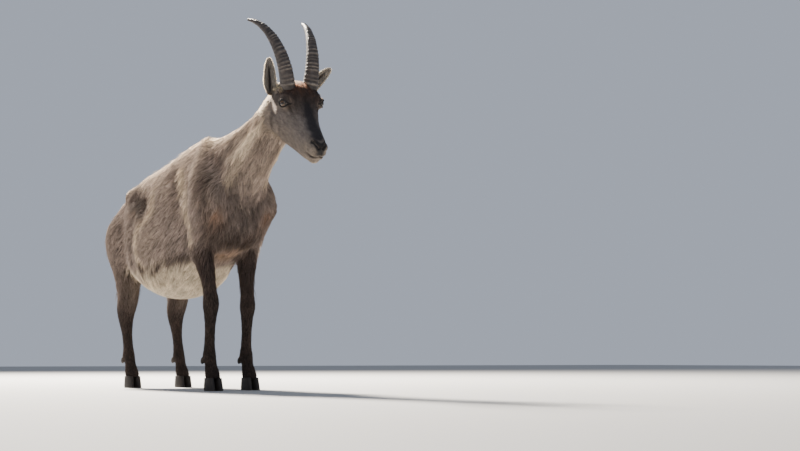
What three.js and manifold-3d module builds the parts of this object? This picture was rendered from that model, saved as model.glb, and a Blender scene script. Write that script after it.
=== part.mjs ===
// A life-size nanny alpine ibex, standing with her neck stretched forward and her head turned a little
// to her left. Millimetres, +Z up, she faces -Y and her left side is +X. The floor is z = 0.
import * as THREE from "three";
import { mergeVertices } from "three/addons/utils/BufferGeometryUtils.js";
import Module from "manifold-3d";

const wasm = await Module();
wasm.setup();

// Driving dimensions
const WITHERS = 770; // height at the withers when the trunk is level, coat included
const TRUNK_RISE = 8; // degrees by which the trunk is higher in front
const TRUNK_PIVOT = [0, -260, 420]; // the trunk tips about the elbows
const HEAD_AT = [16, -575, 828]; // back of the skull
const HEAD_LEFT = 2; // degrees that the head turns to her left
const HEAD_DOWN = 43.5; // degrees that the head's long axis points down
const HEAD_LEAN = -6.5; // degrees that the head leans to her left
const HORN_LENGTH = { left: 260, right: 272 }; // along the curve, from inside the skull
const HORN_START = 22; // degrees that its base leans back from square to the head's long axis
const HORN_SWEEP = 99; // degrees that a horn turns through from base to tip
const HORN_RINGS = 19;
const EAR_LENGTH = 110;
const EYE_RADIUS = 15.5;
const FORE_TRACK = 70; // half the distance between the fore feet
const HIND_TRACK = 84;
const FORE_FOOT_Y = { left: -258, right: -304 };
const HIND_FOOT_Y = { left: 250, right: 262 };
const GAP = 0.35; // between touching nodes

const radians = THREE.MathUtils.degToRad;
const clamp = THREE.MathUtils.clamp;
const smooth = THREE.MathUtils.smoothstep;
const vector = (p) => new THREE.Vector3(...p);
const UP = [0, 0, 1];
const BACK = [0, 1, 0];

// Sections
// A row is one cross-section of a body part: its middle, half its width, its reach on the over side
// (up on a trunk or head, forward on a leg) and on the under side, and how square each side is.
const row = (y, z, wide, over, under, more = {}) => ({
  x: 0, y, z, wide, over, under, square: 2, squareUnder: 2, turn: 0, ...more,
});

// The rows between the given ones, on a smooth curve through each of their numbers.
function refine(rows, steps) {
  const found = [];
  const last = rows.length - 1;
  for (let i = 0; i < last; i++)
    for (let s = 0; s < steps; s++) {
      const t = s / steps;
      const [a, b, c, d] = [i - 1, i, i + 1, i + 2].map((k) => rows[clamp(k, 0, last)]);
      const made = {};
      for (const key of Object.keys(b))
        made[key] =
          b[key] +
          0.5 * t * (c[key] - a[key] +
            t * (2 * a[key] - 5 * b[key] + 4 * c[key] - d[key] +
              t * (3 * (b[key] - c[key]) + d[key] - a[key])));
      found.push(made);
    }
  found.push(rows[last]);
  return found;
}

// A closed surface over rings of points that lie one after the other, with a point at either end.
function closed(rings, firstPoint, finalPoint) {
  const around = rings[0].length;
  const points = rings.flat();
  const faces = [];
  for (let i = 0; i + 1 < rings.length; i++)
    for (let k = 0; k < around; k++) {
      const [a, b] = [i * around + k, i * around + ((k + 1) % around)];
      faces.push(a, a + around, b, b, a + around, b + around);
    }
  const first = points.push(firstPoint) - 1;
  const final = points.push(finalPoint) - 1;
  const start = (rings.length - 1) * around;
  for (let k = 0; k < around; k++) {
    faces.push(first, k, (k + 1) % around);
    faces.push(final, start + ((k + 1) % around), start + k);
  }
  const geometry = new THREE.BufferGeometry().setFromPoints(points);
  geometry.setIndex(faces);
  return geometry;
}

// A closed body through the rows, which run from front to back or from the bottom up. The rings stand
// square to the path, or all square to one given direction.
function loft(given, around, steps = 1, square = null) {
  const rows = steps > 1 ? refine(given, steps) : given;
  const last = rows.length - 1;
  const middles = rows.map((r) => new THREE.Vector3(r.x, r.y, r.z));
  const rings = rows.map((r, i) => {
    const along = square
      ? vector(square)
      : middles[Math.min(i + 1, last)].clone().sub(middles[Math.max(i - 1, 0)]).normalize();
    const turn = radians(r.turn);
    const side = new THREE.Vector3(Math.cos(turn), Math.sin(turn), 0);
    side.addScaledVector(along, -side.dot(along)).normalize();
    const over = side.clone().cross(along);
    return Array.from({ length: around }, (_, k) => {
      const angle = (2 * Math.PI * k) / around;
      const [c, s] = [Math.cos(angle), Math.sin(angle)];
      const power = 2 / (s >= 0 ? r.square : r.squareUnder);
      const across = Math.sign(c) * Math.abs(c) ** power * r.wide;
      const reach = Math.sign(s) * Math.abs(s) ** power * (s >= 0 ? r.over : r.under);
      return middles[i].clone().addScaledVector(side, across).addScaledVector(over, reach);
    });
  });
  return closed(rings, middles[0], middles[last]);
}

// Solids
function solid(geometry) {
  const bare = geometry.clone();
  bare.deleteAttribute("normal");
  bare.deleteAttribute("uv");
  const merged = mergeVertices(bare, 1e-4);
  const triVerts = new Uint32Array(merged.index.array);
  const vertProperties = new Float32Array(merged.attributes.position.array);
  const made = new wasm.Manifold(new wasm.Mesh({ numProp: 3, vertProperties, triVerts }));
  if (made.volume() >= 0) return made;
  for (let i = 0; i < triVerts.length; i += 3)
    [triVerts[i + 1], triVerts[i + 2]] = [triVerts[i + 2], triVerts[i + 1]];
  return new wasm.Manifold(new wasm.Mesh({ numProp: 3, vertProperties, triVerts }));
}

const join = (list) => list.reduce((a, b) => a.add(b));
const largest = (s) => s.decompose().reduce((a, b) => (b.volume() > a.volume() ? b : a));

function geometryOf(s) {
  const mesh = s.getMesh();
  const geometry = new THREE.BufferGeometry();
  geometry.setAttribute("position", new THREE.BufferAttribute(new Float32Array(mesh.vertProperties), 3));
  geometry.setIndex(new THREE.BufferAttribute(new Uint32Array(mesh.triVerts), 1));
  return geometry;
}

// An ellipsoid with its middle at a point, turned so that its z axis points along a direction.
function ball(at, radii, toward = UP, across = 12, high = 8) {
  const turned = new THREE.Quaternion().setFromUnitVectors(vector(UP), vector(toward).normalize());
  const placed = new THREE.Matrix4().compose(vector(at), turned, new THREE.Vector3(1, 1, 1));
  return new THREE.SphereGeometry(1, across, high).rotateX(Math.PI / 2)
    .scale(...radii).applyMatrix4(placed);
}

// A box by its middle and size, grown by a margin on every face.
const block = (at, size, margin = 0) =>
  solid(new THREE.BoxGeometry(...size.map((s) => s + 2 * margin)).translate(...at));

// A slab of room on the far side of a plane through a point, square to a direction.
function beyond(at, direction, wide, deep, margin = 0) {
  const turned = new THREE.Quaternion().setFromUnitVectors(vector(UP), vector(direction).normalize());
  const placed = new THREE.Matrix4().compose(vector(at), turned, new THREE.Vector3(1, 1, 1));
  return solid(new THREE.BoxGeometry(wide, wide, deep).translate(0, 0, deep / 2 - margin)
    .applyMatrix4(placed));
}

// Poses
const trunkPose = new THREE.Matrix4().makeTranslation(...TRUNK_PIVOT)
  .multiply(new THREE.Matrix4().makeRotationX(-radians(TRUNK_RISE)))
  .multiply(new THREE.Matrix4().makeTranslation(...TRUNK_PIVOT.map((v) => -v)));
const headPose = new THREE.Matrix4().makeTranslation(...HEAD_AT)
  .multiply(new THREE.Matrix4().makeRotationZ(radians(HEAD_LEFT)))
  .multiply(new THREE.Matrix4().makeRotationX(radians(HEAD_DOWN)))
  .multiply(new THREE.Matrix4().makeRotationY(radians(HEAD_LEAN)));
const mirrored = (geometry) => geometry.clone().scale(-1, 1, 1);
const onSide = (side, geometry) => (side === "left" ? geometry : mirrored(geometry));
const sign = { left: 1, right: -1 };

// Trunk, from the breast to the rump, before it is tipped
const TRUNK = [
  row(-376, WITHERS - 256, 24, 24, 28),
  row(-364, WITHERS - 256, 60, 62, 70),
  row(-336, WITHERS - 252, 92, 100, 106),
  row(-290, WITHERS - 242, 112, 160, 132),
  row(-215, WITHERS - 232, 120, 224, 150, { square: 1.95 }),
  row(-120, WITHERS - 244, 130, 242, 162, { square: 2.1 }),
  row(0, WITHERS - 284, 146, 268, 162, { square: 2.25, squareUnder: 2.1 }),
  row(110, WITHERS - 292, 150, 271, 152, { square: 2.4, squareUnder: 2.2 }),
  row(200, WITHERS - 270, 140, 246, 134, { square: 2.5, squareUnder: 2.2 }),
  row(285, WITHERS - 224, 114, 182, 120, { square: 2.3 }),
  row(354, WITHERS - 210, 94, 136, 112),
  row(408, WITHERS - 214, 70, 96, 92),
  row(434, WITHERS - 218, 42, 58, 54),
  row(442, WITHERS - 220, 18, 26, 22),
];
const SCAPULA = ball([38, -208, WITHERS - 56], [28, 70, 38], UP, 10, 6);
const HIP_BONE = ball([78, 250, WITHERS - 84], [30, 52, 26], UP, 10, 6);

// Neck, from the skull back into the chest
const NECK = [
  row(-594, 806, 26, 32, 32, { x: 17, turn: HEAD_LEFT }),
  row(-566, 790, 48, 54, 60, { x: 16, turn: HEAD_LEFT }),
  row(-524, 764, 53, 55, 68, { x: 13, turn: HEAD_LEFT }),
  row(-468, 730, 58, 60, 80, { x: 8 }),
  row(-400, 692, 68, 76, 96, { x: 4 }),
  row(-330, 654, 82, 104, 122),
  row(-250, 612, 92, 142, 150),
  row(-200, 588, 80, 124, 126),
];

// Foreleg from the coronet up, on her left. Its y is measured back from the foot.
const FORELEG = [
  row(-2, 37.4, 23, 27, 24),
  row(2, 52, 22, 24, 23),
  row(12, 76, 18, 18, 19),
  row(20, 100, 20, 20, 25),
  row(22, 124, 17, 17, 19),
  row(20, 168, 15.5, 16.5, 17),
  row(18, 212, 19, 20, 20),
  row(16, 246, 24, 27, 26),
  row(18, 276, 22, 25, 27),
  row(28, 318, 25, 30, 34),
  row(38, 366, 30, 36, 47),
  row(46, 412, 35, 42, 60),
  row(32, 468, 42, 60, 72),
  row(8, 530, 50, 84, 78),
  row(20, 602, 45, 84, 82),
  row(50, 676, 34, 62, 70),
  row(74, 736, 20, 34, 44),
  row(80, 752, 9, 15, 20),
];

// How far a foreleg's middle lies outside its foot at a height
const foreSpread = (z) => 13 * smooth(z, 250, 500) - 38 * smooth(z, 540, 750);

// The two legs of a pair stand apart in length and draw level toward the trunk.
function foreleg(side) {
  const mean = (FORE_FOOT_Y.left + FORE_FOOT_Y.right) / 2;
  const placed = FORELEG.map((r) => ({
    ...r,
    x: FORE_TRACK + foreSpread(r.z),
    y: r.y + FORE_FOOT_Y[side] + (mean - FORE_FOOT_Y[side]) * smooth(r.z, 240, 600),
  }));
  return onSide(side, loft(placed, 12, 1, UP));
}

// Hind leg from the coronet up, on her left
const HINDLEG = [
  row(-2, 37.4, 23, 27, 24),
  row(3, 52, 22, 24, 23),
  row(15, 76, 18, 18, 19),
  row(28, 100, 20, 20, 25),
  row(34, 124, 17.5, 18, 19),
  row(46, 168, 17, 18, 20),
  row(56, 204, 22, 23, 26),
  row(60, 232, 27, 32, 33),
  row(52, 262, 32, 42, 42),
  row(42, 300, 34, 56, 52),
  row(36, 350, 40, 76, 70),
  row(44, 400, 49, 98, 88),
  row(56, 452, 57, 112, 100),
  row(66, 510, 58, 108, 98),
  row(76, 562, 46, 86, 78),
  row(84, 602, 28, 52, 48),
  row(88, 618, 10, 18, 16),
];
const hindSpread = (z) => 11 * smooth(z, 280, 430) - 42 * smooth(z, 470, 620);

function hindleg(side) {
  const mean = (HIND_FOOT_Y.left + HIND_FOOT_Y.right) / 2;
  const placed = HINDLEG.map((r) => ({
    ...r,
    x: HIND_TRACK + hindSpread(r.z),
    y: r.y + HIND_FOOT_Y[side] + (mean - HIND_FOOT_Y[side]) * smooth(r.z, 260, 560),
  }));
  return onSide(side, loft(placed, 12, 1, UP));
}

// Tail, from the croup to its tip
const TAIL_PLANE = 472;
const TAIL = [
  row(390, 560, 20, 14, 20),
  row(430, 568, 24, 17, 26),
  row(466, 562, 25, 17, 24),
  row(490, 536, 23, 14, 15),
  row(500, 500, 19, 11, 11),
  row(503, 464, 12, 8, 8),
  row(503, 444, 3, 3, 3),
];

// Head, in its own frame: the nose points along -Y from the back of the skull at y = 0
const HEAD = [
  row(-266, -10, 9, 10, 10),
  row(-260, -12, 20, 22, 25, { square: 2.3, squareUnder: 2.3 }),
  row(-247, -14, 25, 29, 41, { square: 2.4, squareUnder: 2.3 }),
  row(-226, -14, 28, 33, 53, { square: 2.3, squareUnder: 2.2 }),
  row(-197, -13, 32, 36, 63, { square: 2.2, squareUnder: 2.2 }),
  row(-165, -10, 37, 41, 74, { square: 2.1, squareUnder: 2.2 }),
  row(-133, -6, 45, 50, 86, { squareUnder: 2.3 }),
  row(-103, -2, 53, 62, 96, { square: 2.1, squareUnder: 2.3 }),
  row(-75, 2, 56, 67, 100, { square: 2.2, squareUnder: 2.2 }),
  row(-47, 2, 54, 63, 92, { square: 2.2, squareUnder: 2 }),
  row(-19, -2, 49, 55, 74),
  row(9, -8, 41, 42, 54),
  row(28, -14, 24, 26, 32),
];

// Eyes sit in the orbits and look outward and a little forward.
const EYE_AT = [49, -97, 33];
const EYE_LOOKS = [0.88, -0.42, 0.1];
const EYE_SLIT = 15.5; // half the length of the opening between the lids
const EYE_OPEN = 9; // half its height
const EYE_TILT = 26; // degrees that its front corner is raised

// The almond between the lids, pushed out along the line of sight.
function lidOpening() {
  const almond = new THREE.Shape();
  almond.moveTo(-EYE_SLIT, -2);
  almond.quadraticCurveTo(-2, 2 * EYE_OPEN - 3, EYE_SLIT, 0);
  almond.quadraticCurveTo(0, -2 * EYE_OPEN, -EYE_SLIT, -2);
  const prism = new THREE.ExtrudeGeometry(almond, { depth: 30, bevelEnabled: false, curveSegments: 4 });
  const outward = vector(EYE_LOOKS).normalize();
  const level = vector(UP).cross(outward).normalize();
  const frame = new THREE.Matrix4().makeBasis(level, outward.clone().cross(level), outward)
    .setPosition(...EYE_AT);
  return prism.rotateZ(-radians(EYE_TILT)).translate(0, 0, EYE_RADIUS * 0.55).applyMatrix4(frame);
}

// Horns rise from the forehead and curve back. Rings stand out most on their front.
const HORN_BASE = [33, -57, 54];
const HORN_DEEP = 26; // half its depth from front to back at the base
const HORN_WIDE = 19; // half its width there
// Degrees by which the base and the tip of each horn leave the middle plane
const HORN_OUT = { left: [8, 12], right: [9, 14] };
const RING_HEIGHT = 3;

function horn(side, grown) {
  const rows = [];
  const count = HORN_RINGS * 2;
  const place = vector(HORN_BASE);
  const [from, to] = HORN_OUT[side];
  for (let i = 0; i <= count; i++) {
    const t = i / count;
    const lean = radians(HORN_START + HORN_SWEEP * t);
    const outward = radians(from + (to - from) * t);
    const taper = 1 - 0.87 * t ** 1.6;
    const raised = i < 2 || t > 0.93 || i % 2 === 0 ? 0 : RING_HEIGHT * (0.4 + 0.6 * taper);
    rows.push(row(place.y, place.z, HORN_WIDE * taper + 0.3 * raised + grown,
      HORN_DEEP * taper + raised + grown, HORN_DEEP * taper + 0.2 * raised + grown,
      { x: place.x, square: 2.4, squareUnder: 1.9 }));
    const [s, c] = [Math.sin(outward), Math.cos(outward)];
    place.add(new THREE.Vector3(s, Math.sin(lean) * c, Math.cos(lean) * c)
      .multiplyScalar(HORN_LENGTH[side] / count));
  }
  return onSide(side, loft(rows, 10));
}

// Ears: a leaf that is hollowed from the front
const EAR_AT = [52, -9, 3];
const EAR_WALL = 2.6;
const EAR_POINTS = { left: [0.76, 0.44, 0.48], right: [0.19, 0.88, 0.44] };
const EAR_FACES = { left: [-0.25, -0.8, 0.4], right: [-0.5, -0.7, 0.5] };

function earRows(inset, front) {
  const rows = [];
  const steps = 7;
  for (let i = 0; i <= steps; i++) {
    const t = i / steps;
    const leaf = Math.sin(Math.PI * Math.min(1, 0.26 + 0.74 * t)) ** 0.55;
    const half = Math.max(2, 2 + 18.5 * leaf - 2 * t - inset);
    const depth = Math.max(1.4, 15 * (1 - 0.5 * t) * Math.max(0.25, leaf) - inset);
    rows.push(row(-10 * t * t, EAR_LENGTH * t, half, front || 5 * (1 - 0.6 * t), depth));
  }
  return rows;
}

// Places an ear: it points up, out and back, and its hollow faces forward and outward.
function earPose(side) {
  const along = vector(EAR_POINTS[side]).normalize();
  const facing = vector(EAR_FACES[side]);
  facing.addScaledVector(along, -facing.dot(along)).normalize();
  const back = facing.clone().negate();
  return new THREE.Matrix4().makeBasis(back.clone().cross(along), back, along)
    .setPosition(EAR_AT[0] * sign[side], EAR_AT[1], EAR_AT[2]);
}

function ear(side, grown, hollow) {
  const pose = headPose.clone().multiply(earPose(side));
  const outer = solid(loft(earRows(-grown, 0), 10).applyMatrix4(pose));
  if (!hollow) return outer;
  const inner = earRows(EAR_WALL, 18).slice(1, 7).map((r) => ({ ...r, y: r.y + 1 }));
  return outer.subtract(solid(loft(inner, 10).applyMatrix4(pose)));
}

// Hooves: two claws on each foot, with flat soles on the floor
const CLAW_HALF = 11;
const CLAW_HIGH = 37;
const CLEFT = 3;

function claw(footX, footY, side) {
  const x = footX + side * (CLAW_HALF + CLEFT / 2);
  const rows = [
    row(footY - 8, 0, CLAW_HALF, 33, 25, { square: 1.7, squareUnder: 2.6 }),
    row(footY - 7, 8, CLAW_HALF + 0.5, 31, 25, { square: 1.8, squareUnder: 2.6 }),
    row(footY - 3, CLAW_HIGH, CLAW_HALF - 0.3, 25, 22),
  ];
  return loft(rows.map((r) => ({ ...r, x })), 12, 1, UP);
}

// Dewclaws: a pair of small hard buds behind each fetlock
const DEWCLAW = { fore: [11, 43, 87], hind: [11, 51, 88] };

function dewclaw(foot, footX, footY, side, grown) {
  const [x, y, z] = DEWCLAW[foot];
  return ball([footX + side * x, footY + y, z], [6.5 + grown, 7 + grown, 12 + grown], [0, -0.5, 1], 8, 5);
}

// Long coat: flat tapered locks, rooted under the surface, that follow it along their lie
const LOCK_ROWS = [
  { along: -0.14, rise: -7, share: 0.55, thick: 3 },
  { along: 0.3, rise: 1, share: 1, thick: 4.5 },
  { along: 0.72, rise: 3, share: 0.66, thick: 3.8 },
  { along: 1, rise: 4, share: 0, thick: 0 },
];
const caster = new THREE.Raycaster();

// Where a line from a point first meets a surface, and which way the surface faces there.
function meet(surface, from, toward, reach) {
  caster.set(from, toward.clone().normalize());
  caster.far = reach;
  const hit = caster.intersectObject(surface)[0];
  return hit && { point: hit.point, normal: hit.face.normal.clone() };
}

// One lock. The tip stands off the surface by the given height and the whole of it bends sideways.
function lock(surface, from, look, { way, long, wide, off = 0, bend = 0 }) {
  const root = meet(surface, from, look, 900);
  if (!root) throw new Error(`no surface for the lock at ${from.toArray()}`);
  const normal = root.normal.clone();
  const here = root.point.clone();
  let gone = 0;
  const rings = LOCK_ROWS.map(({ along, rise, share, thick }) => {
    const heading = way.clone().addScaledVector(normal, -way.dot(normal)).normalize();
    heading.applyAxisAngle(normal, bend * Math.max(0, along));
    const middle = here.clone().addScaledVector(heading, (along - gone) * long);
    if (along > 0) {
      const seat = meet(surface, middle.clone().addScaledVector(normal, 45), normal.clone().negate(), 90);
      if (seat) {
        middle.copy(seat.point);
        normal.lerp(seat.normal, 0.6).normalize();
      }
      here.copy(middle);
      gone = along;
    }
    middle.addScaledVector(normal, rise + off * Math.max(0, along) ** 2);
    const side = normal.clone().cross(heading).normalize();
    return [[wide * share, 0], [0, thick], [-wide * share, 0], [0, -thick]].map(([a, b]) =>
      middle.clone().addScaledVector(side, a).addScaledVector(normal, b));
  });
  const tip = rings.pop()[0];
  const root0 = rings[0].reduce((a, b) => a.clone().add(b)).multiplyScalar(0.25);
  return solid(closed(rings, root0, tip));
}

// Rows of locks on her left: where the first and the last are looked for, from which way, how many
// there are, the way they lie, their length, half their width and how far their tips stand off.
const [FROM_SIDE, FROM_ABOVE, FROM_FRONT, FROM_BACK, FROM_BELOW] =
  [[-1, 0, 0], [0, 0, -1], [0, 1, 0], [0, -1, 0], [0, 0, 1]];
const BODY_LOCKS = [
  // Crest of the neck, parted to either side
  { ends: [[11, -552, 950], [12, -236, 950]], look: FROM_ABOVE, count: 6, way: [0.4, 0.85, -0.35], long: 64, wide: 14 },
  // Side of the neck, then its lower side
  { ends: [[260, -528, 782], [260, -292, 694]], look: FROM_SIDE, count: 4, way: [0, 0.8, -0.6], long: 78, wide: 15 },
  { ends: [[260, -508, 738], [260, -300, 636]], look: FROM_SIDE, count: 4, way: [0, 0.6, -0.8], long: 80, wide: 15 },
  { ends: [[260, -470, 688], [260, -396, 600]], look: FROM_SIDE, count: 2, way: [0, 0.35, -0.93], long: 70, wide: 14, off: 6 },
  // Breast and brisket
  { ends: [[14, -700, 584], [48, -700, 560]], look: FROM_FRONT, count: 2, way: [0.1, 0.1, -1], long: 70, wide: 14, off: 6 },
  { ends: [[24, -700, 520], [62, -700, 500]], look: FROM_FRONT, count: 2, way: [0.1, 0.2, -1], long: 70, wide: 14, off: 8 },
  { ends: [[16, -306, 200], [14, -224, 200]], look: FROM_BELOW, count: 2, way: [0, 0.9, -0.4], long: 52, wide: 12, off: 14 },
  // Shoulder, its front edge and behind it
  { ends: [[260, -276, 596], [260, -296, 470]], look: FROM_SIDE, count: 3, way: [0, 0.35, -0.93], long: 66, wide: 13 },
  { ends: [[260, -124, 630], [260, -140, 480]], look: FROM_SIDE, count: 2, way: [0, 0.6, -0.8], long: 86, wide: 15 },
  // Spine, from the withers to the croup
  { ends: [[13, -160, 950], [12, 386, 950]], look: FROM_ABOVE, count: 6, way: [0.4, 0.9, -0.25], long: 84, wide: 15 },
  // Flank and the edge of the belly
  { ends: [[260, -40, 540], [260, 150, 530]], look: FROM_SIDE, count: 2, way: [0, 0.75, -0.65], long: 84, wide: 15 },
  { ends: [[260, -30, 446], [260, 150, 440]], look: FROM_SIDE, count: 2, way: [0, 0.7, -0.7], long: 80, wide: 15 },
  { ends: [[260, -130, 356], [260, 190, 352]], look: FROM_SIDE, count: 5, way: [0, 0.5, -0.86], long: 72, wide: 15, off: 10 },
  // Thigh, its side and its rear edge
  { ends: [[260, 250, 500], [260, 262, 396]], look: FROM_SIDE, count: 2, way: [0, 0.5, -0.86], long: 66, wide: 13 },
  { ends: [[260, 350, 500], [260, 340, 396]], look: FROM_SIDE, count: 2, way: [0, 0.35, -0.93], long: 66, wide: 13 },
  { ends: [[74, 700, 540], [84, 700, 392]], look: FROM_BACK, count: 3, way: [0.1, 0.1, -1], long: 66, wide: 13, off: 8 },
  // Tail
  { ends: [[7, 700, 548], [6, 700, 518]], look: FROM_BACK, count: 2, way: [0.1, 0.1, -1], long: 52, wide: 9, off: 3 },
  // Rear of the forearm
  { ends: [[84, -100, 358], [80, -100, 320]], look: FROM_BACK, count: 2, way: [0.1, 0.3, -1], long: 48, wide: 10, off: 5 },
];

// In the head's own frame: the tuft between the horns and on the forehead, and the cheeks
const HEAD_LOCKS = [
  { ends: [[5, -34, 200], [9, -84, 200]], look: FROM_ABOVE, count: 2, way: [0.35, -1, 0], long: 44, wide: 10, off: 5 },
  { ends: [[20, -96, 200], [16, -126, 200]], look: FROM_ABOVE, count: 1, way: [0.15, -1, 0], long: 38, wide: 9, off: 3 },
  { ends: [[200, -68, -6], [200, -96, -46]], look: FROM_SIDE, count: 2, way: [0, 0.75, -0.65], long: 40, wide: 11, off: 4 },
];

// The same numbers come out each time.
function chance(seed) {
  let state = seed;
  return () => {
    state = (state * 1664525 + 1013904223) % 4294967296;
    return state / 4294967296 - 0.5;
  };
}

function locks(rows, body, pose, seed) {
  const surface = new THREE.Mesh(geometryOf(body));
  const next = chance(seed);
  const found = [];
  for (const { ends, look, count, way, long, wide, off } of rows)
    for (const side of ["left", "right"])
      for (let i = 0; i < count; i++) {
        const at = vector(ends[0]).lerp(vector(ends[1]), (i + 0.5 * next()) / Math.max(1, count - 1));
        const place = (v) => v.multiply(new THREE.Vector3(sign[side], 1, 1));
        const turn = (v) => place(v).transformDirection(pose);
        found.push(lock(surface, place(at).applyMatrix4(pose), turn(vector(look)), {
          way: turn(vector(way)), long: long * (1 + 0.3 * next()), wide: wide * (1 + 0.25 * next()),
          off, bend: 0.9 * next(),
        }));
      }
  return found;
}

// The whole body in one piece, before it is parted
function bodySolid() {
  const parts = [
    solid(loft(TRUNK, 20, 1, BACK).applyMatrix4(trunkPose)),
    solid(loft(NECK, 16)),
    solid(loft(TAIL, 8)),
  ];
  for (const side of ["left", "right"]) {
    parts.push(solid(foreleg(side)), solid(hindleg(side)));
    for (const bump of [SCAPULA, HIP_BONE])
      parts.push(solid(onSide(side, bump.clone()).applyMatrix4(trunkPose)));
  }
  const body = join(parts);
  return join([body, ...locks(BODY_LOCKS, body, new THREE.Matrix4(), 11)]);
}

// The line between the lips, from under the nose to the corner of the mouth
const MOUTH = [[-4, -267, -30], [10, -263, -30], [23, -250, -30], [30, -232, -32], [35, -207, -34]];

function mouthGroove() {
  const path = new THREE.CatmullRomCurve3(MOUTH.map(vector));
  const section = new THREE.Shape();
  section.absellipse(0, 0, 1.8, 6, 0, 2 * Math.PI);
  return new THREE.ExtrudeGeometry(section, { steps: 7, extrudePath: path, curveSegments: 3 });
}

const ORBIT = ball([45, -93, 31], [29, 26, 19.5], EYE_LOOKS, 10, 7);
const BROW = ball([31, -62, 46], [24, 28, 19], UP, 10, 6);
const NOSE_WING = ball([13, -248, -6], [14, 14, 14], UP, 8, 6);
const CHIN = ball([0, -236, -48], [18, 22, 15], UP, 10, 6);
const jaw = (grown) => ball([32, -66, -42], [23 + grown, 46 + grown, 46 + grown], UP, 10, 6);

function headSolid() {
  const place = (geometry) => solid(geometry.clone().applyMatrix4(headPose));
  const parts = [place(loft(HEAD, 20, 1, BACK)), place(CHIN)];
  for (const side of ["left", "right"]) {
    const on = (geometry) => place(onSide(side, geometry));
    parts.push(on(ORBIT), on(BROW), on(NOSE_WING), on(jaw(0)));
  }
  let head = join(parts);
  head = join([head, ...locks(HEAD_LOCKS, head, headPose, 5)]);
  for (const side of ["left", "right"]) {
    const on = (geometry) => place(onSide(side, geometry));
    const cuts = [
      on(ball(EYE_AT, Array(3).fill(EYE_RADIUS + GAP), EYE_LOOKS, 12, 8)),
      on(lidOpening()),
      on(ball([13, -258, 5], [4.5, 11, 6], [0.5, 0, 0.6], 8, 6)),
      on(mouthGroove()),
      place(horn(side, GAP)),
      ear(side, GAP, false),
    ];
    for (const cut of cuts) head = head.subtract(cut);
  }
  return head;
}

// Looks
const looks = {
  coat: { color: 0x8d7f70, roughness: 0.9 },
  darkCoat: { color: 0x3a302b, roughness: 0.9 },
  horn: { color: 0x4a423c, roughness: 0.6 },
  hoof: { color: 0x2c2724, roughness: 0.5 },
  eye: { color: 0x6b4a22, roughness: 0.15 },
};
const group = new THREE.Group();

function add(name, s, look) {
  const geometry = geometryOf(largest(s));
  geometry.computeVertexNormals();
  const mesh = new THREE.Mesh(geometry, new THREE.MeshStandardMaterial({ metalness: 0, ...looks[look] }));
  mesh.name = name;
  group.add(mesh);
}

// Parting: each piece takes what lies in its room, and the rest of the body goes on to the next.
const NECK_CUT = { at: [0, -400, 590], normal: [0, -0.86, 0.5] };

function rooms() {
  const list = [];
  for (const side of ["left", "right"]) {
    const s = sign[side];
    const [fore, hind] = [FORE_FOOT_Y[side], HIND_FOOT_Y[side]];
    list.push([`foreleg_lower_${side}`, (m) => block([s * 100, fore + 20, 135], [192, 160, 222], m)]);
    list.push([`hindleg_lower_${side}`, (m) => block([s * 100, hind + 60, 150], [192, 220, 250], m)]);
    list.push([`foreleg_upper_${side}`, (m) => block([s * 548, -262, 390], [1000, 210, 290], m)]);
    list.push([`hindleg_upper_${side}`, (m) => block([s * 540, 325, 400], [1000, 260, 320], m)]);
  }
  const neckAt = vector(NECK_CUT.at).applyMatrix4(trunkPose).toArray();
  list.push(["neck", (m) => beyond(neckAt, NECK_CUT.normal, 900, 500, m)]);
  list.push(["tail", (m) => beyond([0, TAIL_PLANE, 600], BACK, 400, 100, m)]);
  return list;
}

function build() {
  const head = headSolid();
  const skull = loft(HEAD.map((r) => ({
    ...r, wide: r.wide + GAP, over: r.over + GAP, under: r.under + GAP,
  })), 20, 1, BACK).applyMatrix4(headPose);
  let rest = bodySolid();
  const pieces = {};
  for (const [name, room] of rooms()) {
    pieces[name] = rest.intersect(room(0));
    rest = rest.subtract(room(GAP));
  }
  const jaws = ["left", "right"].map((side) => solid(onSide(side, jaw(GAP)).applyMatrix4(headPose)));
  pieces.neck = jaws.reduce((a, b) => a.subtract(b), pieces.neck.subtract(solid(skull)));
  for (const side of ["left", "right"]) pieces.neck = pieces.neck.subtract(ear(side, GAP, false));
  const feet = [];
  for (const side of ["left", "right"])
    for (const [foot, x, y] of [["fore", FORE_TRACK, FORE_FOOT_Y[side]], ["hind", HIND_TRACK, HIND_FOOT_Y[side]]])
      for (const [where, k] of [["outer", sign[side]], ["inner", -sign[side]]])
        feet.push({ foot, side, where, x: sign[side] * x, y, k });
  for (const { foot, side, x, y, k } of feet)
    pieces[`${foot}leg_lower_${side}`] = pieces[`${foot}leg_lower_${side}`]
      .subtract(solid(dewclaw(foot, x, y, k, GAP)));
  add("torso", rest, "coat");
  for (const [name, s] of Object.entries(pieces)) add(name, s, name.includes("lower") ? "darkCoat" : "coat");
  add("head", head, "coat");
  for (const side of ["left", "right"]) {
    add(`horn_${side}`, solid(horn(side, 0).applyMatrix4(headPose)), "horn");
    add(`ear_${side}`, ear(side, 0, true), "coat");
    const eye = ball(EYE_AT, Array(3).fill(EYE_RADIUS), EYE_LOOKS, 12, 8);
    add(`eye_${side}`, solid(onSide(side, eye).applyMatrix4(headPose)), "eye");
  }
  for (const { foot, side, where, x, y, k } of feet) {
    add(`hoof_${foot}_${side}_${where}`, solid(claw(x, y, k)), "hoof");
    add(`dewclaw_${foot}_${side}_${where}`, solid(dewclaw(foot, x, y, k, 0)), "hoof");
  }
}

build();
const box = new THREE.Box3().setFromObject(group);
group.position.set(-(box.min.x + box.max.x) / 2, -(box.min.y + box.max.y) / 2, -box.min.z);
export default group;
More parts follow.
